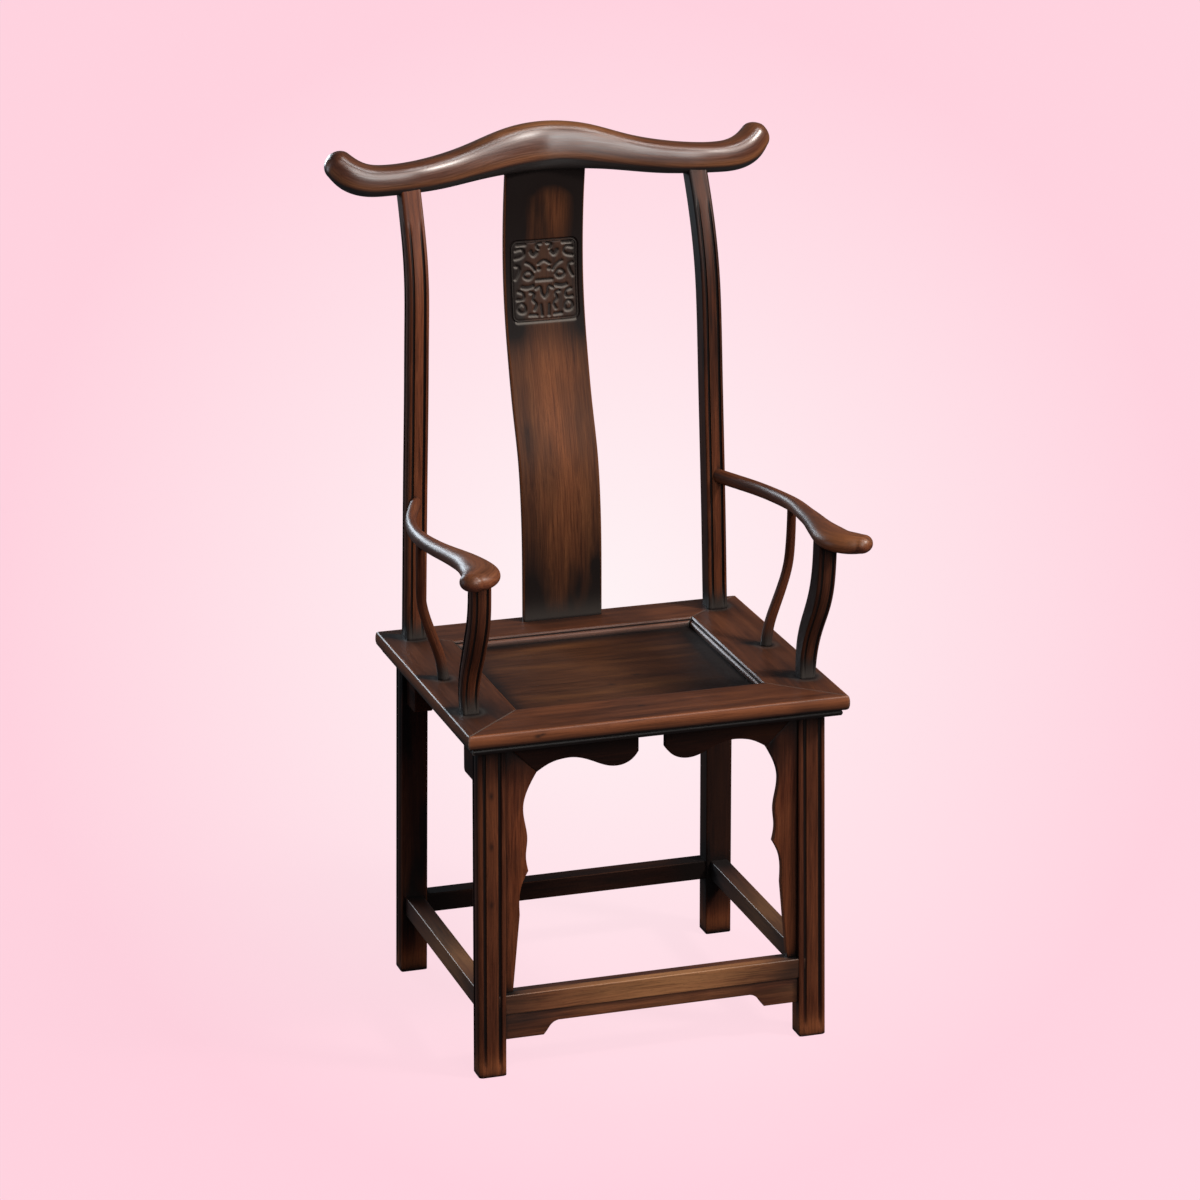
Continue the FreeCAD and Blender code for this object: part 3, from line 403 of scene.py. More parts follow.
def hardwood(name, browns, worn, rough, shine, polish=0.0, streaky=STREAKY, from_piece=True):
    material = bpy.data.materials.new(name)
    material.use_nodes = True
    tree = material.node_tree
    shader = tree.nodes["Principled BSDF"]
    source = put(tree, "Attribute", {"attribute_name": "grain"}).outputs["Vector"]
    if not from_piece:
        scale = (MILLIMETRES, MILLIMETRES, MILLIMETRES)
        source = stretched(tree, put(tree, "TexCoord", {}).outputs["Object"], scale)
    marks = figure(tree, source)
    grime = mark(tree, "grime")
    colour = wood_colour(tree, marks, list(zip(BROWN_PLACES, browns)), worn)
    colour = blend(tree, dirt_and_shade_share(tree, marks, grime), colour, (*GRIME_AND_SHADE_BLACK, 1.0))
    # a pale film: real dust, and painted highlights and sheen on the carving
    colour = blend(tree, mark(tree, "dust"), colour, (*PALE_DUST_AND_HIGHLIGHT, 1.0))
    tree.links.new(colour, shader.inputs["Base Color"])
    tree.links.new(roughness(tree, marks, grime, rough, streaky), shader.inputs["Roughness"])
    tree.links.new(surface_shape(tree, source, marks), shader.inputs["Normal"])
    shader.inputs["Specular IOR Level"].default_value = shine
    shader.inputs["Coat Weight"].default_value = polish
    shader.inputs["Coat Roughness"].default_value = COAT_ROUGHNESS
    return material


# the corner darkening is partly dirt and partly painted shade
print("dirt gathers within", CORNER_REACH * MILLIMETRES, "mm of a corner")

# %% [markdown]
# All timbers are the same hardwood, but light, oil and hands have changed it from place to
# place: red posts, deeper legs, a polished crest, a brown splat, redder rails, a dark panel,
# handled arms, trodden stretchers, and almost black timbers where the seat shades them.
# Each finish has its three browns, the colour that shows where it is rubbed, and its gloss.

# %% The finishes of this chair
# the browns of a dark, a middle and a pale streak
RED_BROWN = [(0.032, 0.0085, 0.0045), (0.096, 0.025, 0.0105), (0.165, 0.048, 0.019)]
CREST_BROWN = [(0.036, 0.0088, 0.0034), (0.072, 0.0190, 0.0066), (0.115, 0.0350, 0.0122)]
LEG_BROWN = [(0.026, 0.0068, 0.0038), (0.062, 0.0165, 0.0078), (0.110, 0.031, 0.0130)]
SPLAT_BROWN = [(0.050, 0.015, 0.007), (0.110, 0.037, 0.0145), (0.165, 0.059, 0.022)]
PANEL_BROWN = [(0.0175, 0.0058, 0.0032), (0.037, 0.012, 0.0056), (0.067, 0.0228, 0.0098)]
SEAT_BROWN = [(0.032, 0.0105, 0.0055), (0.070, 0.022, 0.010), (0.120, 0.040, 0.017)]
DARK_BROWN = [(0.012, 0.0045, 0.0035), (0.028, 0.009, 0.0055), (0.056, 0.016, 0.008)]
# name, browns, rubbed colour, roughness, shine, polish, how far streaks vary the roughness
FINISHES = {
    "post": ("red brown posts", RED_BROWN, RUSSET, 0.415, 0.13),
    "dark": ("dark shaded timbers", DARK_BROWN, RUSSET, 0.515, 0.05),
    "leg": ("deep red brown legs", LEG_BROWN, RUSSET, 0.415, 0.15),
    "crest": ("pale brown crest", CREST_BROWN, GOLDEN, 0.355, 0.8, 0.35, 0.07),
    "splat": ("deep brown splat", SPLAT_BROWN, RUSSET, 0.415, 0.08),
    "rail": ("red brown rails", SEAT_BROWN, RUSSET, 0.395, 0.26),
    "panel": ("seat panel", PANEL_BROWN, GOLDEN, 0.465, 0.2),
    "arm": ("handled arms", RED_BROWN, GOLDEN, 0.425, 0.4),
    "tread": ("trodden stretchers", RED_BROWN, STRAW, 0.435, 0.4),
}
finishes = {key: hardwood(*values) for key, values in FINISHES.items()}
finishes["hidden"] = hardwood("hidden wood", DARK_BROWN, GOLDEN, 0.515, 0.4, from_piece=False)
print(len(finishes), "finishes made")

# %% [markdown]
# Legs and posts share one moulding, cut with a scratch stock down the face: a round bead at
# each corner, a narrow groove, and a flat band with a slight crown between the grooves.
# The section is worked out point by point. Beads and the edges of the band are rubbed, and
# the grooves hold dirt, so the marks come with the shape.

# %% Section of a moulded timber
BEAD_SHARE = 0.15
GROOVE_SHARE = 0.15
GROOVE_DEPTH = 0.0022
SLIM_GROOVE_DEPTH = 0.0015
CROWN_SHARE = 0.32
GROOVE_FULLNESS = 0.8
PLAIN_ROUNDING = 0.0025
PLAIN_FACE_DIRT = 0.35
SIDE_FACE_DIRT = 0.35
ARRIS_WEAR = 0.4
BAND_WEAR = 0.14
BAND_EDGE_WEAR = 0.2
BAND_EDGE_DIRT = 0.4
BEAD_WEAR = 0.30
BEAD_DIRT = 0.2
FACE_POINTS = 9
GROOVE_POINTS = 9
CORNER_POINTS = 7


def moulded_face(length, groove):
    # places along the face, depth inwards, wear and grime
    trim = length * BEAD_SHARE
    wide = length * GROOVE_SHARE
    crown = groove * CROWN_SHARE
    share = np.linspace(0, 1, GROOVE_POINTS)
    wave = np.sin(math.pi * share) ** GROOVE_FULLNESS
    across = np.linspace(0, 1, FACE_POINTS)[1:-1]
    off_middle = np.abs(2 * across - 1)
    band = trim + wide + (length - 2 * trim - 2 * wide) * across
    along = [trim + wide * share, band, length - trim - wide * (1 - share)]
    hollow = crown * share + groove * wave
    inward = [hollow, crown * off_middle**2, hollow[::-1]]
    band_wear = BAND_WEAR + BAND_EDGE_WEAR * off_middle**3
    wear = [ARRIS_WEAR * share**6, band_wear, ARRIS_WEAR * (1 - share) ** 6]
    full = min(1.0, groove / SLIM_GROOVE_DEPTH)
    grime = [full * wave, BAND_EDGE_DIRT * full * off_middle**2, full * wave]
    return [np.concatenate(part) for part in (along, inward, wear, grime)]


def plain_face(length, rounding):
    # as many points as a moulded face has, so that sections can follow one another
    along = np.linspace(rounding, length - rounding, 2 * GROOVE_POINTS + FACE_POINTS - 2)
    return along, 0 * along, 0 * along, PLAIN_FACE_DIRT + 0 * along


def section(width, depth, groove, moulded, rounding=PLAIN_ROUNDING):
    corners = np.array([(-1, -1), (1, -1), (1, 1), (-1, 1)]) * (width / 2, depth / 2)
    names = ["front", "outer", "back", "inner"]
    faces = []
    for index, name in enumerate(names):
        start, end = corners[index], corners[(index + 1) % 4]
        length = np.linalg.norm(end - start)
        ahead = (end - start) / length
        inwards = np.array([-ahead[1], ahead[0]])
        shape = moulded_face(length, groove) if name in moulded else plain_face(length, rounding)
        places = start + shape[0][:, None] * ahead + shape[1][:, None] * inwards
        shaded = SIDE_FACE_DIRT * (name == "outer" and name in moulded)
        faces.append((places, shape[2], shape[3] + shaded))
    return join_faces(faces, corners)


def join_faces(faces, corners):
    # a round bead joins each face to the next
    turn = np.linspace(0, math.pi / 2, CORNER_POINTS)[1:-1, None]
    places, wear, grime = [], [], []
    for index, face in enumerate(faces):
        corner = corners[(index + 1) % 4]
        leaving = (face[0][-1] - corner) * (1 - np.sin(turn))
        reaching = (faces[(index + 1) % 4][0][0] - corner) * (1 - np.cos(turn))
        places += [face[0], corner + leaving + reaching]
        wear += [face[1], BEAD_WEAR * np.sin(2 * turn[:, 0])]
        grime += [face[2], BEAD_DIRT + 0 * turn[:, 0]]
    return np.concatenate(places), np.concatenate(wear), np.concatenate(grime)


print("points round a moulded section:", GROOVE_POINTS * 2 + FACE_POINTS - 2 + CORNER_POINTS - 2, "a face")

# %% [markdown]
# A timber that stands up keeps its sections level, so its rings are those sections moved to
# the stations of its centre line. Right-hand and left-hand pieces share one shape, turned over
# sideways, but the right one can be given painted shade and the left one its own marks.

# %% Upright timbers
KNOT_DIRT = 0.8


def upright(centres, sections):
    places, wear, grime = (np.array(part) for part in zip(*sections))
    along = np.repeat(lengths_along(centres)[:, None], places.shape[1], axis=1)
    rings = np.dstack([places, 0 * along]) + centres[:, None, :]
    return rings, np.dstack([along, places]), wear, grime


def spots(grain, places):
    # dark knots, twice as long along the grain as across it
    total = 0
    for along, across, deep, size in places:
        away = (grain - (along, across, deep)) / (2 * size, size, size)
        total = total + KNOT_DIRT * np.exp(-np.sum(away**2, axis=-1))
    return total


def both_sides(node, parts, finish, slot, right_shade=0, left_marks=0):
    rings, grain, wear, grime = parts
    for word, side in SIDES.items():
        dirt = grime + (right_shade if side > 0 else left_marks)
        timber(f"{node}_{word}", rings * (side, 1, 1), grain, wear, dirt, finishes[finish], slot)


print("sides of the chair:", ", ".join(SIDES))

# %% [markdown]
# The four legs lean in as they rise. The front ones are moulded on the front and the outer
# face, and the rear ones on the outer face only. The moulding stops just above the floor, where
# the foot is rubbed golden by brooms and shoes, with a dark line of floor dirt below. The foot
# itself has a small round. Painted shade darkens the top of each leg under the seat, and the
# rear legs all over. Three knots show on the left front leg.

# %% Legs
LEG_WIDTH = 0.039
LEG_DEPTH = 0.031
LEG_SIDE_SETBACK = 0.0185
FRONT_LEG_SETBACK = 0.024
REAR_LEG_SETBACK = 0.015
LEAN_SIDEWAYS = 0.0047
LEAN_DEEP = 0.0096
PLAIN_FOOT = 0.008
FOOT_FADE = 0.026
LEG_HEAD_HIDDEN = 0.004
FOOT_ROUNDING = 0.0016
LEAST_GROOVE = 0.02
FOOT_WEAR_HEIGHT = 0.030
FOOT_WEAR = 0.6
FOOT_CLEANED = 0.8
FLOOR_DIRT_HEIGHT = 0.004
FLOOR_DIRT = 0.9
LEG_HEAD_SHADE_HEIGHT = 0.05
LEG_HEAD_SHADE_LEVEL = 0.6
REAR_LEG_SHADE = 0.35
# shares of the seat's height
LEG_KNOT_SHARES = (0.497, 0.6614, 0.804)
LEG_KNOT_ASIDE = 0.001
LEG_KNOT_SIZE = 0.0028


def leg_centre(rear, height):
    rise = height / seat_height
    setback = REAR_LEG_SETBACK if rear else FRONT_LEG_SETBACK
    across = half_width - LEG_SIDE_SETBACK - LEG_WIDTH / 2 - LEAN_SIDEWAYS * rise
    deep = half_depth - setback - LEG_DEPTH / 2 - LEAN_DEEP * rise
    return np.array([across, seat_middle + (deep if rear else -deep), height])


def leg_inner_face(height):
    return leg_centre(False, height)[0] - LEG_WIDTH / 2


def foot_inset(height):
    # how far the small round of the foot draws the section in
    left = max(0, FOOT_ROUNDING - height)
    return FOOT_ROUNDING - math.sqrt(max(0, FOOT_ROUNDING**2 - left**2))


def leg_heights():
    foot = FOOT_ROUNDING * (1 - np.cos(np.linspace(0, math.pi / 2, 5)))
    above = np.linspace(2 * FOOT_ROUNDING, frame_bottom + LEG_HEAD_HIDDEN, steps(150))
    return np.concatenate([foot, above])


def leg(rear):
    # painted shade on the rear legs
    shade = REAR_LEG_SHADE if rear else 0
    moulded = ["outer"] if rear else ["front", "outer"]
    heights = leg_heights()
    sections = []
    for height in heights:
        groove = GROOVE_DEPTH * np.clip((height - PLAIN_FOOT) / (FOOT_FADE - PLAIN_FOOT), LEAST_GROOVE, 1)
        inset = foot_inset(height)
        places, wear, grime = section(LEG_WIDTH - 2 * inset, LEG_DEPTH - 2 * inset, groove, moulded)
        wear = wear + FOOT_WEAR * hump(height, FOOT_WEAR_HEIGHT / 2, FOOT_WEAR_HEIGHT / 2)
        grime = grime + shade + FLOOR_DIRT * hump(height, 0, FLOOR_DIRT_HEIGHT)
        grime = grime - FOOT_CLEANED * hump(height, FOOT_WEAR_HEIGHT / 2, FOOT_WEAR_HEIGHT)
        # painted shade under the seat
        grime = grime + LEG_HEAD_SHADE_LEVEL * hump(height, frame_bottom, LEG_HEAD_SHADE_HEIGHT)
        sections.append((places, wear, grime))
    return upright(np.array([leg_centre(rear, height) for height in heights]), sections)


leg_parts = leg(False)
leg_knot = (LEG_KNOT_ASIDE, -LEG_DEPTH / 2, LEG_KNOT_SIZE)
leg_knots = [(share * seat_height, *leg_knot) for share in LEG_KNOT_SHARES]
both_sides("front_leg", leg_parts, "leg", "dark_wood", 0, spots(leg_parts[1], leg_knots))

# %% [markdown]
# Each rear leg and the post above the seat are one timber. The leg part has the legs' section,
# and the post is narrower and stands straight for more than half its height, then sweeps back
# to meet the crest rail. Its head runs into the crest, so no gap shows there.

# %% Back posts
POST_WIDTH = 0.0285
POST_DEPTH = 0.031
POST_STEP = 0.0028
POST_RISE = 0.635
POST_DRAW_IN = 0.0159
POST_SWEEP = 0.058
POST_FOOT_DIRT_HEIGHT = 0.024
POST_FOOT_DIRT = 0.7
POST_FADE_SHARES = (0.86, 0.97)
RIGHT_POST_SHADE = 0.16
RIGHT_POST_HEAD_SHADE = 0.42
RIGHT_POST_SHADE_SHARES = (0.45, 0.85)
# share of the rise, of the draw-in, of the sweep back, of the groove depth
POST_SHARES = [
    (0.0, 0.0, 0.0, 0.0),
    (0.05, 0.045, 0.003, 1.0),
    (0.183, 0.16, 0.01, 1.0),
    (0.366, 0.34, 0.033, 1.0),
    (0.559, 0.55, 0.055, 1.0),
    (0.691, 0.68, 0.082, 1.0),
    (0.782, 0.80, 0.148, 1.0),
    (0.863, 0.89, 0.35, 1.0),
    (0.93, 0.94, 0.635, 0.9),
    (1.0, 1.0, 1.0, 0.0),
]


def post_centre(rise, draw, sweep):
    inward = POST_STEP + POST_DRAW_IN * draw
    return leg_centre(True, seat_height) + np.array([-inward, POST_SWEEP * sweep, POST_RISE * rise])


def back_post():
    rows = [(*post_centre(rise, draw, sweep), groove) for rise, draw, sweep, groove in POST_SHARES]
    line = smooth(rows, steps(190))
    sections = []
    for row in line:
        rise = (row[2] - seat_height) / POST_RISE
        groove = GROOVE_DEPTH * min(1, max(LEAST_GROOVE, row[3] - soft_step(rise, *POST_FADE_SHARES)))
        places, wear, grime = section(POST_WIDTH, POST_DEPTH, groove, ["front", "outer"])
        dirty = POST_FOOT_DIRT * hump(rise, 0, POST_FOOT_DIRT_HEIGHT / POST_RISE)
        sections.append((places, wear, grime + dirty))
    return upright(line[:, :3], sections)


def timber_of_two(first, second):
    # the second part goes on from the first, and so does its grain
    grain = np.concatenate([first[1], second[1] + (first[1][:, :, 0].max(), 0, 0)])
    rings, wear, grime = (np.concatenate([first[index], second[index]]) for index in (0, 2, 3))
    return rings, grain, wear, grime


post_parts = timber_of_two(leg(True), back_post())
post_rise = (post_parts[0][:, :, 2] - seat_height) / POST_RISE
post_shade = RIGHT_POST_SHADE + RIGHT_POST_HEAD_SHADE * soft_step(post_rise, *RIGHT_POST_SHADE_SHARES)
both_sides("back_post", post_parts, "post", "dark_wood", post_shade)

# %% [markdown]
# The crest rail is a bent bar with an oval section: thick in the middle, waisted over the posts,
# and rising to rounded ends. Its rings stand square to the centre line and lean with it.
# An end is closed with rings that shrink as the cosine of an angle while they move out as its
# sine, which makes it round like an egg.

# %% Rings round a bent centre line
RING_POINTS = 64
TIP_RINGS = 12
LAST_TIP_ANGLE = math.radians(86)
turn = np.linspace(0, 2 * math.pi, RING_POINTS, endpoint=False)


def rounded(values, flatness):
    return np.copysign(np.abs(values) ** (2 / flatness), values)


def unit(vectors):
    return vectors / np.linalg.norm(vectors, axis=-1, keepdims=True)


def frames_along(centres, lean):
    ahead = unit(np.gradient(centres, axis=0))
    side = unit(np.cross(ahead, (0, 0, 1)))
    up = np.cross(side, ahead)
    angle = np.radians(lean)[:, None]
    return ahead, side * np.cos(angle) - up * np.sin(angle), up * np.cos(angle) + side * np.sin(angle)


def with_tip(line, frames, reach, at_end):
    # adds the rounded end's rows to the line and its frames
    angles = np.linspace(0, LAST_TIP_ANGLE, TIP_RINGS + 1)[1:, None]
    row = -1 if at_end else 0
    ahead, side, up = (part[row] for part in frames)
    outward = ahead if at_end else -ahead
    centres = line[row, :3] + outward * reach * np.sin(angles)
    rows = np.column_stack([centres, line[row, 3:5] * np.cos(angles)])
    extra = [np.repeat(part[None], TIP_RINGS, axis=0) for part in (ahead, side, up)]
    if at_end:
        joined = [np.concatenate([part, more]) for part, more in zip(frames, extra)]
        return np.concatenate([line[:, :5], rows]), joined
    joined = [np.concatenate([more, part]) for part, more in zip(frames, extra)]
    return np.concatenate([rows[::-1], line[:, :5]]), joined


def oval_rings(line, frames, flatness):
    across = rounded(np.cos(turn), flatness) * line[:, 3:4]
    rise = rounded(np.sin(turn), flatness) * line[:, 4:5]
    sideways, upwards = frames[1][:, None] * across[..., None], frames[2][:, None] * rise[..., None]
    rings = line[:, None, :3] + sideways + upwards
    along = np.repeat(lengths_along(line[:, :3])[:, None], RING_POINTS, axis=1)
    return rings, np.dstack([along, across, rise])


print("rings of", RING_POINTS, "points, with", TIP_RINGS, "at each rounded end")

# %% [markdown]
# Shoulders and hands polish the top and the front of the crest, so its ridge is worn golden in
# the middle and at the two ends, and its front has a warm line low down. Its underside is
# seldom wiped, and it is darkened with dirt and with painted shade, with a stain over the
# splat. The lean is the turn of the section in the middle, which sets where the front catches
# the light.

# %% Crest rail
CREST_OVERHANG = 0.0944
CREST_OVER_POSTS = 0.0106
CREST_BOW = 0.0376
CREST_DIP = 0.024
CREST_HALF_HEIGHT = 0.034
CREST_HALF_DEPTH = 0.021
CREST_LEAN = -6.0
CREST_TIP_REACH = 0.019
CREST_FLATNESS = 2.6
CREST_WORN_REACH = 0.10
CREST_ENDS = (0.22, 0.30)
STAIN_PLACE = 0.02
STAIN_REACH = 0.03
# ridge is 1 on the top of the section and -1 below it
RIDGE_WORN_SHARES = (0.6, 1.0)
RIDGE_DARK_SHARES = (0.34, 0.66)
RIDGE_STAINED_SHARES = (0.2, 0.6)
LOWER_LINE_SHARE = -0.28
LOWER_LINE_REACH_SHARE = 0.16
# at rest, more in the middle, more at the ends, and on the lower line
CREST_WEAR = (0.15, 0.75, 0.1, 0.4)
CREST_UNDER_DIRT_AND_SHADE = 1.4
STAIN_DIRT = 0.7
# share of the way out to the posts, then of the bow, dip, half height, half depth and lean
CREST_INNER_SHARES = [
    (0.0, 0.0, 0.0, 1.0, 1.0, 1.0),
    (0.26, 0.20, 0.12, 0.93, 1.0, 0.95),
    (0.523, 0.42, 0.55, 0.76, 1.0, 0.7),
    (0.80, 0.77, 0.90, 0.67, 1.0, 0.35),
    (1.0, 0.99, 1.0, 0.625, 0.98, 0.12),
]
# the same, along the part that runs out past the posts
CREST_OUTER_SHARES = [
    (0.36, 0.99, 1.05, 0.62, 0.98, 0.0),
    (0.63, 0.94, 0.97, 0.65, 1.0, 0.0),
    (0.855, 0.83, 0.615, 0.66, 1.0, 0.0),
    (1.0, 0.66, 0.10, 0.60, 0.95, 0.0),
]


def post_head():
    return post_centre(1, 1, 1)


def crest_middle():
    return post_head() * (0, 1, 1) + np.array([0, CREST_BOW, CREST_OVER_POSTS + CREST_DIP])


def crest_rows():
    head = post_head()[0]
    rows = [(head * row[0], *row[1:]) for row in CREST_INNER_SHARES]
    rows += [(head + CREST_OVERHANG * row[0], *row[1:]) for row in CREST_OUTER_SHARES]
    right = []
    for across, bow, dip, tall, deep, lean in rows:
        place = crest_middle() + np.array([across, -CREST_BOW * bow, -CREST_DIP * dip])
        right.append((*place, CREST_HALF_DEPTH * deep, CREST_HALF_HEIGHT * tall, CREST_LEAN * lean))
    left = [(-row[0], *row[1:]) for row in right[:0:-1]]
    return left + right


def crest_marks(rings, line):
    across = rings[:, :, 0]
    ridge = (rings[:, :, 2] - line[:, None, 2]) / line[:, 4:5]
    plain, more_middle, more_ends, more_lower = CREST_WEAR
    middle = hump(across, 0, CREST_WORN_REACH)
    ends = soft_step(np.abs(across), *CREST_ENDS)
    lower = hump(ridge, LOWER_LINE_SHARE, LOWER_LINE_REACH_SHARE) * (rings[:, :, 1] < line[:, None, 1])
    wear = soft_step(ridge, *RIDGE_WORN_SHARES) * (plain + more_middle * middle + more_ends * ends)
    stained = hump(across, STAIN_PLACE, STAIN_REACH) * soft_step(-ridge, *RIDGE_STAINED_SHARES)
    # dirt and painted shade on the underside, and the stain
    grime = CREST_UNDER_DIRT_AND_SHADE * soft_step(-ridge, *RIDGE_DARK_SHARES) + STAIN_DIRT * stained
    return wear + more_lower * lower, grime


def crest_rail():
    line = smooth(crest_rows(), steps(220))
    frames = frames_along(line[:, :3], line[:, 5])
    for at_end in (False, True):
        line, frames = with_tip(line, frames, CREST_TIP_REACH, at_end)
    rings, grain = oval_rings(line, frames, CREST_FLATNESS)
    timber("crest_rail", rings, grain, *crest_marks(rings, line), finishes["crest"], "dark_wood")


crest_rail()

# %% [markdown]
# The splat is a board bent like a back: straight at the foot, swept back behind the shoulders,
# and a little forward again under the crest. Its front is made as a fine net of points, so that
# the carved panel can be cut into it by moving points back. The net is closest at the carving.

# %% Splat board
SPLAT_WIDTH = 0.117
SPLAT_THICKNESS = 0.010
SPLAT_ROUNDING = 0.003
SPLAT_HEAD_DROP = 0.0096
SPLAT_HEAD_FORWARD = 0.006
SPLAT_SETBACK = 0.0265
CARVING_RISE = 0.476
CARVING_WIDTH = 0.101
CARVING_HEIGHT = 0.118
CLOSEST_STEP = 0.0005
FINE_STEP = CLOSEST_STEP / DENSE
COARSE_STEP = 0.004
# share of the rise, share of the head's distance behind the foot
SPLAT_SHARES = [
    (0.0, 0.0),
    (0.09, 0.0),
    (0.18, 0.016),
    (0.27, 0.092),
    (0.36, 0.263),
    (0.45, 0.578),
    (0.54, 0.843),
    (0.63, 1.057),
    (0.72, 1.183),
    (0.81, 1.205),
    (0.90, 1.141),
    (1.0, 1.0),
]


def splat_centres():
    foot = np.array([0, seat_middle + half_depth - SPLAT_SETBACK + SPLAT_THICKNESS / 2, seat_height])
    head = crest_middle() - np.array([0, SPLAT_HEAD_FORWARD, SPLAT_HEAD_DROP])
    line = smooth([foot + (head - foot) * (0, sweep, rise) for rise, sweep in SPLAT_SHARES], 400)
    middle = seat_height + CARVING_RISE
    margin = CARVING_HEIGHT / 2 + SPLAT_ROUNDING
    fine = np.arange(middle - margin, middle + margin, FINE_STEP)
    below = np.arange(foot[2], fine[0], COARSE_STEP)
    above = np.arange(fine[-1] + COARSE_STEP, head[2], COARSE_STEP)
    heights = np.concatenate([below, fine, above])
    return np.column_stack([0 * heights, np.interp(heights, line[:, 2], line[:, 1]), heights])


print("rows of points up the splat:", len(splat_centres()))

# %% [markdown]
# The carving is an animal mask of rounded scrolls, a traditional pattern. It is cut as a carver
# cuts it: channels are run with a gouge along drawn lines, and what is left between them is
# rounded over. Each line is a short chain of points, as shares of half the panel, and its right
# half is turned over for the left one. The depth at any point depends on how far the nearest
# channel is.

# %% Lines of the carving
CARVING_CORNER = 0.011
CARVING_GROOVE = 0.0024
CARVING_LINE = 0.0018
CARVING_DEPTH = 0.0024
CARVING_STEP = 0.0006
CARVING_BANK = 0.0016
BROAD_CUT = 0.0044
FINE_CUT = 0.003
ROUND_OVER = 0.0038
BROAD_SHARES = [
    [(0.15, 0.27), (0.151, 0.27)],
    [(0.38, 0.70), (0.30, 0.61), (0.22, 0.67)],
    [(0.34, -0.14), (0.49, -0.17), (0.64, -0.15)],
    [(0.56, 0.89), (0.76, 0.88)],
]
FINE_SHARES = [
    [(0.83, 0.55), (0.70, 0.57), (0.59, 0.65), (0.62, 0.75), (0.82, 0.75)],
    [(0.09, 0.89), (0.20, 0.86), (0.17, 0.76)],
    [(0.52, 0.43), (0.40, 0.38), (0.26, 0.24)],
    [(0.83, 0.37), (0.74, 0.34), (0.75, 0.20), (0.84, 0.06)],
    [(0.34, 0.12), (0.40, 0.20), (0.52, 0.20), (0.59, 0.12), (0.52, 0.05), (0.40, 0.05), (0.34, 0.12)],
    [(0.76, -0.25), (0.62, -0.32), (0.63, -0.43), (0.80, -0.44)],
    [(0.58, -0.62), (0.68, -0.54), (0.79, -0.62), (0.74, -0.74), (0.60, -0.74), (0.58, -0.62)],
    [(0.42, -0.29), (0.32, -0.33), (0.35, -0.46), (0.26, -0.56), (0.31, -0.70)],
    [(0.26, -0.83), (0.46, -0.82)],
    [(0.12, -0.60), (0.10, -0.84)],
]
MIDDLE_SHARES = [
    [(-0.16, 0.39), (0.0, 0.46), (0.16, 0.39)],
    [(-0.22, 0.0), (0.22, 0.0)],
    [(-0.24, -0.20), (-0.13, -0.17), (-0.08, -0.32), (0.0, -0.42)],
    [(0.24, -0.20), (0.13, -0.17), (0.08, -0.32), (0.0, -0.42)],
]


def gouge_line(shares, side=1):
    # points close together along one drawn line, from the panel's middle
    half = np.array([side * CARVING_WIDTH / 2, CARVING_HEIGHT / 2])
    places = np.array(shares) * half
    length = lengths_along(places)[-1]
    count = max(2, int(length / FINE_STEP))
    return smooth(places, count, placed=2)


def gouge_lines():
    chains = [(gouge_line(shares, side), BROAD_CUT) for shares in BROAD_SHARES for side in (1, -1)]
    chains += [(gouge_line(shares, side), FINE_CUT) for shares in FINE_SHARES for side in (1, -1)]
    return chains + [(gouge_line(shares), FINE_CUT) for shares in MIDDLE_SHARES]


print("gouge lines in the mask:", len(gouge_lines()))

# %% [markdown]
# Round the mask run two frames: a groove along the panel's outline, and a fine raised line
# inside it. Both follow a rectangle with rounded corners, whose distance has a short formula.
# Cloths can't reach into the channels, so they are dark. A pale painted highlight lies on the
# banks that face up and on the fine raised line, and a thin painted sheen over the field.

# %% Depth of the carving
GROOVE_SINK_SHARE = 0.75
FIELD_SINK_SHARE = 0.15
FRAME_DIRT = 0.75
FIELD_DIRT = 0.74
CUT_DIRT = 0.25
LINE_CLEANED = 0.5
LINE_WEAR = 0.2
BANK_HIGHLIGHT = 0.62
LINE_HIGHLIGHT = 0.12
FIELD_SHEEN = 0.05


def inside_panel(across, rise):
    # how far inside the panel's rounded outline a point lies
    reach = np.abs(across) - (CARVING_WIDTH / 2 - CARVING_CORNER)
    height = np.abs(rise) - (CARVING_HEIGHT / 2 - CARVING_CORNER)
    outside = np.hypot(np.maximum(reach, 0), np.maximum(height, 0))
    return CARVING_CORNER - outside - np.minimum(np.maximum(reach, height), 0)


def from_gouges(across, rise):
    nearest = np.full(across.shape, CARVING_WIDTH)
    places = np.column_stack([across, rise])
    for chain, width in gouge_lines():
        low = chain.min(0) - ROUND_OVER - width
        high = chain.max(0) + ROUND_OVER + width
        near = np.all((places > low) & (places < high), axis=1)
        apart = np.linalg.norm(places[near][:, None] - chain[None], axis=2).min(1) - width / 2
        nearest[near] = np.minimum(nearest[near], apart)
    return nearest


def mask_depth(away, inside):
    # rounded over between the channels, as a share of the full depth
    form = np.clip(np.minimum(away, inside) / ROUND_OVER, 0, 1)
    return FIELD_SINK_SHARE + (1 - FIELD_SINK_SHARE) * (1 - np.sqrt(np.clip(1 - (1 - form) ** 2, 0, 1)))


def dusty_banks(across, rise, inside, away, field):
    # the banks under the scrolls and under the panel that face up, where a highlight is painted
    apart = [from_gouges(across, rise + shift) for shift in (-CARVING_STEP, CARVING_STEP)]
    faces_up = np.clip((apart[0] - apart[1]) / (2 * CARVING_STEP), 0, 1)
    under_scrolls = field * faces_up * hump(away, ROUND_OVER / 6, ROUND_OVER / 3)
    within = (rise < 0) * (np.abs(across) < CARVING_WIDTH / 2 - CARVING_CORNER / 2)
    return np.maximum(under_scrolls, hump(inside, 0, CARVING_BANK) * within)


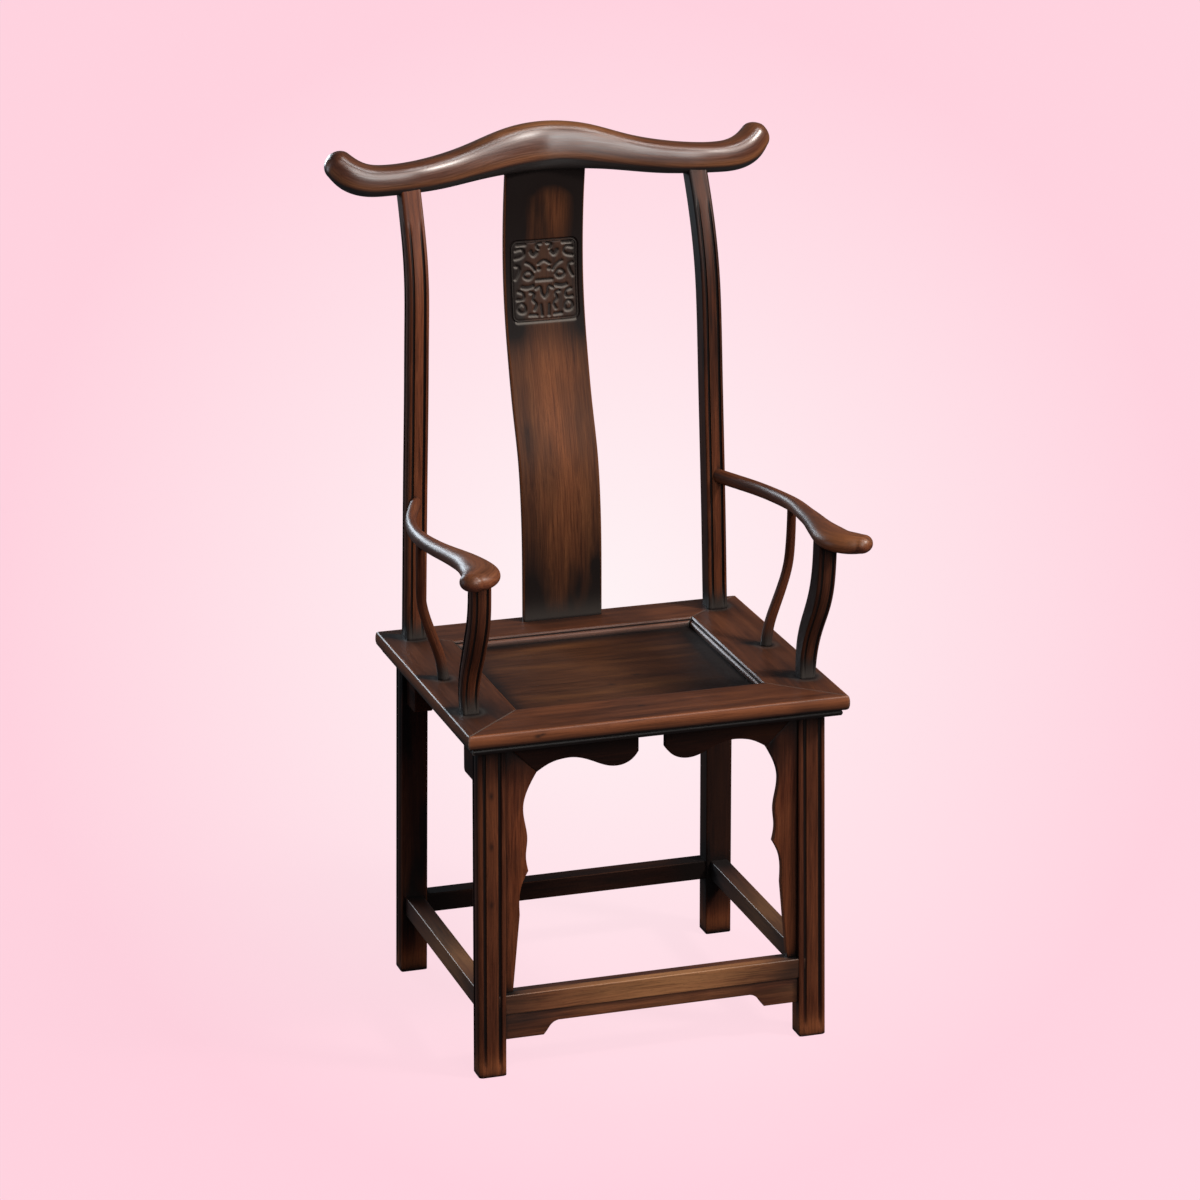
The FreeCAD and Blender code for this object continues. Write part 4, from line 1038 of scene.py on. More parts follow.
def carved(across, rise):
    # depth of the surface, and how much dirt, wear and painted highlight the place has
    inside = inside_panel(across, rise)
    away = from_gouges(across, rise)
    line = CARVING_GROOVE + CARVING_LINE
    groove = soft_step(inside, -CARVING_BANK / 2, CARVING_BANK)
    groove = groove * (1 - soft_step(inside, CARVING_GROOVE - CARVING_STEP, CARVING_GROOVE + CARVING_STEP))
    field = soft_step(inside, line - CARVING_STEP, line + CARVING_STEP)
    sunk = np.maximum(GROOVE_SINK_SHARE * groove, field * mask_depth(away, inside - line))
    cut = 1 - soft_step(away, -CARVING_STEP, CARVING_STEP)
    dirt = np.maximum(FRAME_DIRT * groove, field * (FIELD_DIRT + CUT_DIRT * cut))
    raised = hump(inside, CARVING_GROOVE + CARVING_LINE / 2, CARVING_LINE / 2)
    banks = dusty_banks(across, rise, inside, away, field)
    # painted highlights on the upward banks and the raised line, and a painted sheen over the field
    dust = BANK_HIGHLIGHT * banks + LINE_HIGHLIGHT * raised + FIELD_SHEEN * field
    return CARVING_DEPTH * sunk, dirt * (1 - LINE_CLEANED * raised), LINE_WEAR * raised, dust


print("deepest channel", CARVING_DEPTH * MILLIMETRES, "mm")

# %% [markdown]
# The board's section has a round on each long edge. Its front points carry the carving. The
# marks on the face: darker at the foot and towards the top, a painted shadow of the crest just
# under it, and a paler field, partly polished where a back has rubbed it and partly painted sheen.

# %% Splat
SPLAT_BACK_POINTS = 30
SPLAT_EDGE_POINTS = 7
EVERYWHERE = math.inf
# darkening that changes softly up the board, the last row being the painted shadow of the crest: how much
# more, from and to as shares of the height
SPLAT_DARK_AND_SHADOW_SHARES = [(-0.82, -0.05, 0.33), (0.54, 0.52, 0.635), (0.14, 0.70, 0.80), (0.6, 0.885, 0.945)]
SPLAT_FOOT_DIRT = 0.82
# soft patches: wear, dirt, then height and reach, aside and reach, as shares of the board
SPLAT_PATCH_SHARES = [
    (0.20, -0.24, 0.85, 0.045, 0.34, 0.32),
    # the pale field: rubbed polish and painted sheen
    (0.45, 0.0, 0.43, 0.13, 0.12, 0.5),
    (0.0, 0.24, 0.0, EVERYWHERE, -0.6, 0.28),
    (0.0, 0.16, 0.60, 0.04, 0.0, EVERYWHERE),
]
EDGE_MIDDLE_SHARE = -0.06
EDGE_DIRT = 0.42
EDGE_DIRT_SHARES = (0.25, 1.0)
RIM_SHARES = (0.955, 0.985)
RIM_WEAR = 0.4
RIM_DIRT = 0.15
BACK_DIRT = 0.3


def splat_section():
    # across, deep: the front from left to right, then round the back
    flat = SPLAT_WIDTH / 2 - SPLAT_ROUNDING
    deep = SPLAT_THICKNESS / 2 - SPLAT_ROUNDING
    front = np.arange(-flat, flat + FINE_STEP / 2, FINE_STEP)
    quarter = np.linspace(0, math.pi / 2, SPLAT_EDGE_POINTS)
    curve = np.column_stack([np.sin(quarter), -np.cos(quarter)]) * SPLAT_ROUNDING
    right_front = curve + (flat, -deep)
    right_back = curve[::-1] * (1, -1) + (flat, deep)
    back = np.linspace(flat, -flat, SPLAT_BACK_POINTS)[1:-1]
    left_back = curve * (-1, -1) + (-flat, deep)
    left_front = curve[::-1] * (-1, 1) + (-flat, -deep)
    face = np.column_stack([front[1:-1], 0 * front[1:-1] - SPLAT_THICKNESS / 2])
    rear = np.column_stack([back, 0 * back + SPLAT_THICKNESS / 2])
    return np.concatenate([face, right_front, right_back, rear, left_back, left_front])


def splat_marks(across, rise, deep):
    side = across / (SPLAT_WIDTH / 2)
    share = rise / (crest_middle()[2] - seat_height)
    grime = SPLAT_FOOT_DIRT + EDGE_DIRT * soft_step(np.abs(side - EDGE_MIDDLE_SHARE), *EDGE_DIRT_SHARES)
    # darker towards the top, with the crest's painted shadow just under it
    grime = grime + sum(more * soft_step(share, start, end) for more, start, end in SPLAT_DARK_AND_SHADOW_SHARES)
    wear = 0
    for rubbed, dirty, height, tall, aside, wide in SPLAT_PATCH_SHARES:
        patch = hump(share, height, tall) * hump(side, aside, wide)
        wear = wear + rubbed * patch
        grime = grime + dirty * patch
    rim = soft_step(np.abs(side), *RIM_SHARES)
    wear = wear * (1 - rim) + RIM_WEAR * rim * (deep < 0)
    return wear, np.maximum(grime, 0) * (1 - rim) + RIM_DIRT * rim + BACK_DIRT * (deep > 0)


def splat():
    outline = splat_section()
    centres = splat_centres()
    rings = centres[:, None, :] + np.column_stack([outline, 0 * outline[:, :1]])[None]
    across, deep = (np.repeat(outline[None, :, axis], len(centres), axis=0) for axis in (0, 1))
    rise = rings[:, :, 2] - seat_height
    face = deep < -SPLAT_THICKNESS / 2 + FINE_STEP / 10
    wear, grime = splat_marks(across, rise, deep)
    depth, dirt, rim, carving_highlight = carved(across[face], rise[face] - CARVING_RISE)
    rings[:, :, 1][face] += depth
    wear[face] += rim
    dust = np.zeros_like(wear)
    dust[face] = carving_highlight
    grime[face] = np.maximum(grime[face], dirt)
    grain = np.dstack([rise, across, deep])
    timber("splat", rings, grain, wear, grime, finishes["splat"], "dark_wood", dust)


splat()

# %% [markdown]
# The arms grow out of the back posts as thin rods, sweep outwards and forward, and broaden into
# flat rounded ends that fill a hand. The end and the top are the most rubbed places of the
# whole chair, so they are the most golden.

# %% Arms
ARM_START_RISE = 0.199
ARM_RISE = 0.026
ARM_OVERHANG = 0.0291
ARM_BACK_INSET = 0.046
ARM_SPREAD = 0.0425
ARM_HALF_WIDTH = 0.0256
ARM_HALF_HEIGHT = 0.014
ARM_TIP_REACH = 0.014
ARM_FLATNESS = 2.15
ARM_WEAR = 0.06
ARM_END_WEAR = 0.25
ARM_UNDER_DIRT = 0.6
ARM_FORWARD_SHARES = (0.45, 0.95)
ARM_WORN_RIDGE_SHARES = (-0.55, 0.6)
ARM_DIRTY_RIDGE_SHARES = (0.5, 1.0)
# share of the reach, of the spread, of the rise, of the half width, of the half height
ARM_SHARES = [
    (0.0, -0.16, 0.0, 0.28, 0.74),
    (0.11, 0.33, 0.0, 0.28, 0.74),
    (0.20, 0.66, 0.04, 0.29, 0.74),
    (0.29, 0.88, 0.10, 0.31, 0.74),
    (0.385, 1.0, 0.20, 0.34, 0.75),
    (0.48, 1.0, 0.34, 0.41, 0.75),
    (0.58, 0.90, 0.47, 0.49, 0.76),
    (0.67, 0.78, 0.62, 0.56, 0.81),
    (0.745, 0.66, 0.72, 0.65, 0.90),
    (0.82, 0.57, 0.80, 0.79, 0.98),
    (0.885, 0.55, 0.85, 0.96, 1.0),
    (0.94, 0.63, 0.89, 0.98, 1.0),
    (0.985, 0.96, 0.94, 0.82, 0.95),
    (1.0, 1.12, 0.97, 0.66, 0.89),
]


def arm_start():
    rear = leg_centre(True, seat_height)
    return np.array([half_width - ARM_BACK_INSET, rear[1], seat_height + ARM_START_RISE])


def arm_parts():
    start = arm_start()
    reach = start[1] - seat_middle + half_depth + ARM_OVERHANG
    rows = []
    for along, spread, rise, wide, tall in ARM_SHARES:
        place = start + np.array([ARM_SPREAD * spread, -reach * along, ARM_RISE * rise])
        rows.append((*place, ARM_HALF_WIDTH * wide, ARM_HALF_HEIGHT * tall))
    line = smooth(rows, steps(200))
    frames = frames_along(line[:, :3], 0 * line[:, 0])
    line, frames = with_tip(line, frames, ARM_TIP_REACH, True)
    rings, grain = oval_rings(line, frames, ARM_FLATNESS)
    ridge = (rings[:, :, 2] - line[:, None, 2]) / line[:, 4:5].clip(ARM_HALF_HEIGHT / 9)
    forward = soft_step(grain[:, :, 0] / grain[:, :, 0].max(), *ARM_FORWARD_SHARES)
    wear = (ARM_WEAR + ARM_END_WEAR * forward) * soft_step(ridge, *ARM_WORN_RIDGE_SHARES)
    grime = ARM_UNDER_DIRT * soft_step(-ridge, *ARM_DIRTY_RIDGE_SHARES) * (1 - forward / 2)
    return rings, grain, wear, grime


both_sides("arm", arm_parts(), "arm", "worn_wood")

# %% [markdown]
# Two posts carry each arm. The front one is moulded like the legs but slimmer, and sweeps
# forward like a goose's neck. It is dirty just above the seat, where dusters stop, and its
# grooves run out there. The right one stands in more shade.

# %% Front arm posts
NECK_BASE_INSET = 0.0294
NECK_BASE_SETBACK = 0.096
NECK_HEAD_DROP = 0.007
NECK_SWEEP = 0.0625
NECK_OUTWARD = 0.0024
NECK_WIDTH = 0.026
NECK_DEPTH = 0.032
ARM_POST_FOOT_DIRT = 0.8
RIGHT_NECK_SHADE = 0.45
# share of the rise, of the sweep forward, of the outward drift, of the width, of the depth,
# and of the groove depth
NECK_SHARES = [
    (0.0, 0.0, 0.0, 0.87, 0.70, 0.0),
    (0.115, 0.01, 0.25, 0.92, 0.74, 1.0),
    (0.25, 0.13, 0.33, 0.96, 0.85, 1.0),
    (0.39, 0.38, 0.42, 0.98, 0.96, 1.0),
    (0.53, 0.66, 0.75, 0.99, 1.0, 1.0),
    (0.665, 0.87, 0.75, 1.0, 0.94, 1.0),
    (0.81, 0.97, 0.85, 1.0, 0.88, 1.0),
    (1.0, 1.0, 1.0, 1.0, 0.86, 1.0),
]


def neck_parts():
    base = np.array([half_width - NECK_BASE_INSET, seat_low.y + NECK_BASE_SETBACK, seat_height])
    rise = ARM_START_RISE + ARM_RISE - NECK_HEAD_DROP
    rows = []
    for up, sweep, drift, wide, deep, groove in NECK_SHARES:
        place = base + np.array([NECK_OUTWARD * drift, -NECK_SWEEP * sweep, rise * up])
        rows.append((*place, NECK_WIDTH * wide, NECK_DEPTH * deep, groove))
    line = smooth(rows, steps(110))
    sections = []
    for row in line:
        share = min(1, max(LEAST_GROOVE, row[5]))
        places, wear, grime = section(row[3], row[4], SLIM_GROOVE_DEPTH * share, ["front", "outer"])
        dirty = ARM_POST_FOOT_DIRT * hump(row[2], seat_height, POST_FOOT_DIRT_HEIGHT)
        sections.append((places, wear, grime * share + dirty))
    return upright(line[:, :3], sections)


both_sides("arm_front_post", neck_parts(), "leg", "dark_wood", RIGHT_NECK_SHADE)

# %% [markdown]
# The side post is a slim round rod, turned and then bent. It leans out to meet the arm where
# the arm has swept furthest from the seat, and it tapers upwards.

# %% Side arm posts
SPINDLE_BASE_INSET = 0.035
SPINDLE_SETBACK = 0.0068
SPINDLE_HEAD_RISE = 0.008
SPINDLE_OUTWARD = 0.0325
SPINDLE_SWEEP = 0.0086
SPINDLE_RADIUS = 0.008
SPINDLE_WEAR = 0.12
# share of the rise, of the outward lean, of the sweep forward, of the radius
SPINDLE_SHARES = [
    (0.0, 0.0, 0.0, 1.0),
    (0.12, 0.10, 0.02, 0.97),
    (0.265, 0.38, 0.03, 0.96),
    (0.41, 0.70, 0.08, 0.91),
    (0.555, 0.93, 0.25, 0.86),
    (0.70, 0.985, 0.68, 0.83),
    (0.85, 1.0, 0.90, 0.80),
    (1.0, 1.0, 1.0, 0.78),
]


def spindle_parts():
    base = np.array([half_width - SPINDLE_BASE_INSET, seat_middle + SPINDLE_SETBACK, seat_height])
    rise = ARM_START_RISE + SPINDLE_HEAD_RISE
    rows = []
    for up, lean, sweep, thick in SPINDLE_SHARES:
        place = base + np.array([SPINDLE_OUTWARD * lean, -SPINDLE_SWEEP * sweep, rise * up])
        rows.append((*place, SPINDLE_RADIUS * thick))
    line = smooth(rows, steps(90))
    circle = np.column_stack([np.cos(turn), np.sin(turn)])
    dirt = ARM_POST_FOOT_DIRT * hump(line[:, 2], seat_height, POST_FOOT_DIRT_HEIGHT)
    sections = []
    for radius, dirty in zip(line[:, 3], dirt):
        sections.append((circle * radius, SPINDLE_WEAR + 0 * turn, dirty + 0 * turn))
    return upright(line[:, :3], sections)


both_sides("arm_side_post", spindle_parts(), "leg", "dark_wood")

# %% [markdown]
# The seat is a frame of four rails, mitred at the corners, round a sunk panel. Each rail has the
# same section: a flat top, a rounded band on the outer edge with a moulding under it, and on the
# inner edge a fine bead and a wider round that step down to the panel.
# The section is drawn as pairs of inset from the outer face and drop from the top.

# %% Section of the seat rails
FRONT_RAIL_WIDTH = 0.089
BACK_RAIL_WIDTH = 0.076
SIDE_RAIL_WIDTH = 0.094
EDGE_ROUNDING = 0.003
EDGE_BAND = 0.017
EDGE_SLOPE = 0.005
EDGE_SETBACK = 0.0095
EDGE_BEAD = 0.0022
EDGE_CROWN = 0.0007
BAND_POINTS = 9
LIP_BEAD = 0.0025
LIP_FLAT = 0.002
LIP_QUIRK = 0.0015
LIP_ROUND = 0.003
LIP_BULGE = 0.1
UNDER_SHARES = (0.7, 0.4)
# wear and dirt of each stretch of the section
TOP_MARKS = (0.10, 0.0)
LIP_MARKS = (0.15, 0.0)
QUIRK_MARKS = (0.0, 0.9)
INNER_FACE_MARKS = (0.0, 0.5)
UNDERSIDE_MARKS = (0.0, 0.6)
LOW_BEAD_MARKS = (0.05, 1.1)
SLOPE_MARKS = (0.0, 0.9)
ROUNDING_MARKS = (0.8, 0.0)
BAND_WEAR_LOW = 0.58
BAND_WEAR_RISE = 0.35
BAND_DIRT = 0.75
TOP_POINTS = 34
ARC_POINTS = 7
frame_thickness = seat_height - frame_bottom


def arc_points(centre, across, tall, start, end):
    # start and end in degrees, inset to the right and drop downwards
    angle = np.radians(np.linspace(start, end, ARC_POINTS))
    return np.column_stack([centre[0] + across * np.cos(angle), centre[1] + tall * np.sin(angle)])


def flat_corner(start, end, bulge):
    # from one point to another, with the corner between them cut nearly straight
    share = np.linspace(0, 1, ARC_POINTS)[:, None]
    chord = np.array(start) * (1 - share) + np.array(end) * share
    corner = np.array([max(start[0], end[0]), min(start[1], end[1])])
    return chord + (corner - chord) * bulge * np.sin(math.pi * share)


def inner_lip(width):
    # the fine bead, the quirk, the wider round and the inner face down to the underside
    inner = width + LIP_QUIRK
    last = inner + LIP_ROUND
    step = LIP_BEAD + LIP_FLAT
    return [
        (flat_corner((width - LIP_BEAD, 0), (width, LIP_BEAD), LIP_BULGE)[1:], *LIP_MARKS),
        ([(width, step - LIP_QUIRK / 2), (width, step), (inner, step)], *QUIRK_MARKS),
        (flat_corner((inner, step), (last, step + LIP_ROUND), LIP_BULGE)[1:], *LIP_MARKS),
        ([(last, frame_thickness / 2), (last, frame_thickness)], *INNER_FACE_MARKS),
    ]


def outer_edge():
    # the low bead, the slope, the crowned band and the round at its top
    bulge = np.linspace(0, 1, ARC_POINTS)
    bead_drop = frame_thickness + (EDGE_BAND + EDGE_SLOPE - frame_thickness) * bulge
    bead = np.column_stack([EDGE_SETBACK - EDGE_BEAD * np.sin(math.pi * bulge), bead_drop])
    slope = arc_points((EDGE_SETBACK, EDGE_BAND), EDGE_SETBACK - EDGE_CROWN, EDGE_SLOPE, 90, 180)[1:-1]
    up = np.linspace(0, 1, BAND_POINTS)
    band_drop = EDGE_BAND - up * (EDGE_BAND - EDGE_ROUNDING)
    band = np.column_stack([EDGE_CROWN * np.abs(2 * up - 1) ** 3, band_drop])
    centre = (EDGE_ROUNDING + EDGE_CROWN, EDGE_ROUNDING)
    return [
        (bead, *LOW_BEAD_MARKS),
        (slope, *SLOPE_MARKS),
        (band, BAND_WEAR_LOW + BAND_WEAR_RISE * up, BAND_DIRT * (1 - up) ** 2),
        (arc_points(centre, EDGE_ROUNDING, EDGE_ROUNDING, 180, 270)[1:], *ROUNDING_MARKS),
    ]


def rail_section(width):
    # inset, drop, wear and grime round the section
    top = np.linspace(EDGE_ROUNDING + 2 * EDGE_CROWN, width - LIP_BEAD, TOP_POINTS)
    parts = [(np.column_stack([top, 0 * top]), *TOP_MARKS)] + inner_lip(width)
    parts.append(([(width * share, frame_thickness) for share in UNDER_SHARES], *UNDERSIDE_MARKS))
    parts += outer_edge()
    places = np.concatenate([part[0] for part in parts])
    wear, grime = (np.concatenate([part[n] + np.zeros(len(part[0])) for part in parts]) for n in (1, 2))
    return places, wear, grime


print("points round a rail:", len(rail_section(FRONT_RAIL_WIDTH)[0]))

# %% [markdown]
# Each ring of a rail runs round its section, and the rings follow one another from mitre to
# mitre. The mitre's slant comes from sliding every point along the rail by its inset. The last
# millimetre at a mitre is eased, which leaves the hairline groove that shows where two rails
# meet, and pale dust lies in it. Behind each post's foot a soft shadow is painted, running back
# and to the left, away from the key lamp, with painted shade close round the foot and a ring of
# dust round it.

# %% Seat rails
MITRE_EASE = 0.0012
MITRE_DROP = 0.0005
MITRE_DUST = 0.38
MITRE_GAP_SHARE = 0.01
# shares of half the seat's width, of the rail's width, and of its thickness for drop and size
FRONT_RAIL_KNOT_SHARES = [
    (-0.6426, 0.0, 0.3, 0.08),
    (-0.6148, 0.0, 0.2333, 0.0533),
    (-0.0481, 0.5618, 0.0, 0.0867),
]
TRAIL_WAY = (-0.86, 0.51)
TRAIL_LENGTH = 0.060
TRAIL_SHADOW = 0.95
FOOT_SHADE_REACH = 0.030
FOOT_SHADE_DIRT = 0.35
DUST_RING = 0.007
DUST_RING_LEVEL = 0.12
SIDE_RAIL_DIRT = 0.10
LEFT_RAIL_MORE_DIRT = 0.16


def rail_lengths(length):
    # shares along the rail, closer at the mitres
    ease = MITRE_EASE / length
    near = np.array([0, ease / 2, ease, 3 * ease])
    between = np.linspace(MITRE_GAP_SHARE, 1 - MITRE_GAP_SHARE, steps(180))
    return np.concatenate([near, between, 1 - near[::-1]])[:, None]


def rail_rings(width, half_length, slants, place):
    # slants say how far an end draws in for each inset; place turns length, inset and drop to a point
    points, wear, grime = rail_section(width)
    inset, drop = points.T
    start, end = inset * slants[0] - half_length, half_length - inset * slants[1]
    along = start + (end - start) * rail_lengths((end - start).max())
    from_end = np.minimum(along - start, end - along)
    eased = 1 - soft_step(from_end, 0, MITRE_EASE)
    inset = inset + eased * MITRE_DROP * np.where(inset < EDGE_SETBACK, 1, -1) * (drop > 0)
    sunk = drop + eased * MITRE_DROP * (drop < frame_thickness / 2)
    grain = np.dstack([along, inset + 0 * along, sunk])
    return place(along, inset, sunk), grain, wear + 0 * along, grime + 0 * along


def shadow_behind(across, deep, foot, width):
    # a painted soft shadow that runs back and to the left from a post's foot, away from the key lamp
    from_foot = np.array([across - foot[0], deep - foot[1]])
    along = from_foot[0] * TRAIL_WAY[0] + from_foot[1] * TRAIL_WAY[1]
    aside = from_foot[1] * TRAIL_WAY[0] - from_foot[0] * TRAIL_WAY[1]
    fading = 1 - soft_step(along, width / 2, width / 2 + TRAIL_LENGTH)
    return hump(aside, 0, width) * fading * soft_step(along, -2 * width, 0)


def end_rail(width, side):
    slant = SIDE_RAIL_WIDTH / width

    def place(along, inset, drop):
        return np.dstack([along, seat_middle + side * (half_depth - inset), seat_height - drop])

    return rail_rings(width, half_width, (slant, slant), place)


def side_rail():
    slants = (FRONT_RAIL_WIDTH / SIDE_RAIL_WIDTH, BACK_RAIL_WIDTH / SIDE_RAIL_WIDTH)

    def place(along, inset, drop):
        return np.dstack([half_width - inset, seat_middle + along, seat_height - drop])

    return rail_rings(SIDE_RAIL_WIDTH, half_depth, slants, place)


def mitre_dust(rings):
    # a pale line of dust and wax where two rails meet
    dust = np.zeros(rings.shape[:2])
    dust[[0, 1, -2, -1]] = MITRE_DUST
    dust[[2, -3]] = MITRE_DUST / 3
    return dust


def shadow_trails(rings, side):
    # painted shadows and painted shade at the front post, the side post and the back post of one arm, and
    # dust round their feet
    across, deep = side * rings[:, :, 0], rings[:, :, 1]
    neck = (side * (half_width - NECK_BASE_INSET), seat_low.y + NECK_BASE_SETBACK)
    spindle = (side * (half_width - SPINDLE_BASE_INSET), seat_middle + SPINDLE_SETBACK)
    post = post_centre(0, 0, 0)[:2] * (side, 1)
    feet = [(neck, NECK_WIDTH / 2), (spindle, SPINDLE_RADIUS), (post, POST_WIDTH / 2)]
    # the painted shadows of the three posts
    dirt = np.sum([shadow_behind(across, deep, foot, width) for foot, width in feet], axis=0)
    around = [np.hypot(across - foot[0], deep - foot[1]) - width for foot, width in feet]
    shade = np.sum([hump(apart, 0, FOOT_SHADE_REACH) for apart in around], axis=0)
    dust = np.sum([hump(apart, DUST_RING, DUST_RING / 2) for apart in around], axis=0)
    return TRAIL_SHADOW * dirt + FOOT_SHADE_DIRT * shade, DUST_RING_LEVEL * dust


def front_rail_knots():
    sizes = (half_width, FRONT_RAIL_WIDTH, frame_thickness, frame_thickness)
    return [np.array(shares) * sizes for shares in FRONT_RAIL_KNOT_SHARES]


rings, grain, wear, grime = end_rail(FRONT_RAIL_WIDTH, -1)
dirt = grime + spots(grain, front_rail_knots())
timber("seat_rail_front", rings, grain, wear, dirt, finishes["rail"], "worn_wood", mitre_dust(rings))
back_parts = end_rail(BACK_RAIL_WIDTH, 1)
timber("seat_rail_back", *back_parts, finishes["rail"], "dark_wood", mitre_dust(back_parts[0]))
rings, grain, wear, grime = side_rail()
on_top = grain[:, :, 2] < EDGE_ROUNDING / 2
for word, side in SIDES.items():
    shadow_trail, ring = shadow_trails(rings, side)
    # the rail's own dirt, with the posts' painted shadows on top
    dirt = grime + (SIDE_RAIL_DIRT + LEFT_RAIL_MORE_DIRT * (side < 0) + shadow_trail) * on_top
    dust = mitre_dust(rings) + ring * on_top
    turned = rings * (side, 1, 1)
    timber(f"seat_rail_{word}", turned, grain, wear, dirt, finishes["rail"], "worn_wood", dust)

# %% [markdown]
# The panel is one wide board with its grain across the seat. It sits below the lips of the
# rails. Its rim is dark, since dirt in that corner is never wiped out, and its right side lies
# in the shade. People have worn its middle a little hollow, by less than a millimetre. Dust
# lies along its front edge, and a few knots show.

# %% Seat panel
PANEL_DROP = 0.013
PANEL_THICKNESS = 0.009
PANEL_GAP = 0.0003
PANEL_HOLLOW = 0.0007
PANEL_POINTS = 110
LIP_DEPTH = LIP_QUIRK + LIP_ROUND
PANEL_RIM_REACH = 0.03
PANEL_RIM_DIRT = 0.9
PANEL_UNDER_DIRT = 0.5
PANEL_SHADE_REACH = 0.11
PANEL_SHADE_FULL = 0.02
PANEL_SHADE_DIRT = 0.85
PANEL_SHADE_SLANT = 0.3
PANEL_WEAR = 0.12
PANEL_WORN_PLACE = -0.03
PANEL_WORN_REACH = 0.11
PANEL_DUST = 0.14
PANEL_DUST_PLACE = 0.004
PANEL_DUST_REACH = 0.008
# the underside, from back to front
PANEL_UNDER_SHARES = (1.0, 0.7, 0.3, 0.0)
# shares of half the seat's width and depth, and of the panel's thickness for drop and size
PANEL_KNOT_SHARES = [
    (0.1259, -0.0903, 0.0, 0.3111),
    (-0.0407, -0.2194, 0.0, 0.2444),
    (-0.0444, -0.1892, 0.0, 0.1556),
    (-0.3630, -0.3957, 0.0, 0.2222),
]


def panel_corners():
    across = half_width - SIDE_RAIL_WIDTH - LIP_DEPTH - PANEL_GAP
    front = FRONT_RAIL_WIDTH + LIP_DEPTH + PANEL_GAP - half_depth
    back = half_depth - BACK_RAIL_WIDTH - LIP_DEPTH - PANEL_GAP
    return across, front, back


def panel_net():
    # lengths across the seat, depths from front to back and round under, and drops below the top
    across, front, back = panel_corners()
    bottom = np.array(PANEL_UNDER_SHARES)
    share = np.linspace(0, 1, PANEL_POINTS)
    depths = np.concatenate([share, bottom]) * (back - front) + front
    drops = np.concatenate([0 * share, PANEL_THICKNESS + 0 * bottom])
    lengths = np.linspace(-across, across, PANEL_POINTS)[:, None] + 0 * depths
    return lengths, depths + 0 * lengths, drops + 0 * lengths


def panel_marks(grain):
    across, front, back = panel_corners()
    lengths, depths, drops = np.moveaxis(grain, -1, 0)
    on_top = drops == 0
    edge = np.minimum(across - np.abs(lengths), np.minimum(depths - front, back - depths))
    slanted = lengths - PANEL_SHADE_SLANT * depths
    shaded = soft_step(slanted, across - PANEL_SHADE_REACH, across - PANEL_SHADE_FULL)
    sizes = (half_width, half_depth, PANEL_THICKNESS, PANEL_THICKNESS)
    knots = spots(grain, [np.array(shares) * sizes for shares in PANEL_KNOT_SHARES])
    rim = PANEL_RIM_DIRT * (1 - soft_step(edge, 0, PANEL_RIM_REACH))
    grime = (rim + PANEL_SHADE_DIRT * shaded + knots) * on_top + PANEL_UNDER_DIRT * ~on_top
    wear = PANEL_WEAR * hump(lengths, PANEL_WORN_PLACE, PANEL_WORN_REACH) * on_top
    dust = PANEL_DUST * hump(depths - front, PANEL_DUST_PLACE, PANEL_DUST_REACH) * on_top
    return wear, grime, dust


def seat_panel():
    across, front, back = panel_corners()
    lengths, depths, drops = panel_net()
    off_middle = (2 * depths - front - back) / (back - front)
    hollow = PANEL_HOLLOW * (1 - (lengths / across) ** 2) * (1 - off_middle**2) * (drops == 0)
    rings = np.dstack([lengths, seat_middle + depths, seat_height - PANEL_DROP - drops - hollow])
    grain = np.dstack([lengths, depths, drops])
    wear, grime, dust = panel_marks(grain)
    timber("seat_panel", rings, grain, wear, grime, finishes["panel"], "panel_wood", dust)


seat_panel()

# %% [markdown]
# The fretted boards under the seat are sawn from thin stock: an outline, a thickness and edges
# eased with a file. The outline is walked round once, and each ring of the board is that
# outline moved inwards a little, so that the edges come out round.

# %% Fretted boards
BOARD_ROUNDING = 0.0012
BOARD_EDGE_RINGS = 4
BOARD_EDGE_WEAR = 0.4
LEAST_COSINE = 0.5


def turned_round(outline):
    # the same closed outline, always walked with its inside on the left
    following = np.roll(outline, -1, axis=0)
    area = np.sum(outline[:, 0] * following[:, 1] - following[:, 0] * outline[:, 1])
    return outline if area > 0 else outline[::-1]


def moved_in(outline, inset):
    # the closed outline with each point moved inwards, square to its neighbours' line
    before, after = np.roll(outline, 1, axis=0), np.roll(outline, -1, axis=0)
    first, second = unit(outline - before), unit(after - outline)
    normal = unit(np.column_stack([-(first + second)[:, 1], (first + second)[:, 0]]))
    cosine = np.abs(np.sum(normal * np.column_stack([-first[:, 1], first[:, 0]]), axis=1))
    return outline + normal * (inset / np.clip(cosine, LEAST_COSINE, 1))[:, None]


def facing_front(setback):
    # gives a rule that turns an outline and a depth into places behind the seat's front
    front = seat_low.y + setback

    def place(points, depth):
        return np.column_stack([points[:, 0], np.full(len(points), front + depth), points[:, 1]])

    return place


def fret_rings(outline, thickness, place):
    # place makes a point of the outline's two values and a depth
    outline = turned_round(outline)
    lean = np.linspace(0, math.pi / 2, BOARD_EDGE_RINGS)
    insets = BOARD_ROUNDING * (1 - np.sin(lean))
    depths = BOARD_ROUNDING * (1 - np.cos(lean))
    insets = np.concatenate([insets, insets[::-1]])
    depths = np.concatenate([depths, thickness - depths[::-1]])
    rings, grain = [], []
    for inset, depth in zip(insets, depths):
        ring = moved_in(outline, inset)
        rings.append(place(ring, depth))
        grain.append(np.column_stack([ring, np.full(len(ring), depth)]))
    on_edge = (insets < BOARD_ROUNDING)[:, None]
    wear = BOARD_EDGE_WEAR * on_edge + np.zeros((1, len(outline)))
    return np.array(rings), np.array(grain), wear, 0 * wear


def along_points(points, count):
    return smooth(points, count, placed=2)


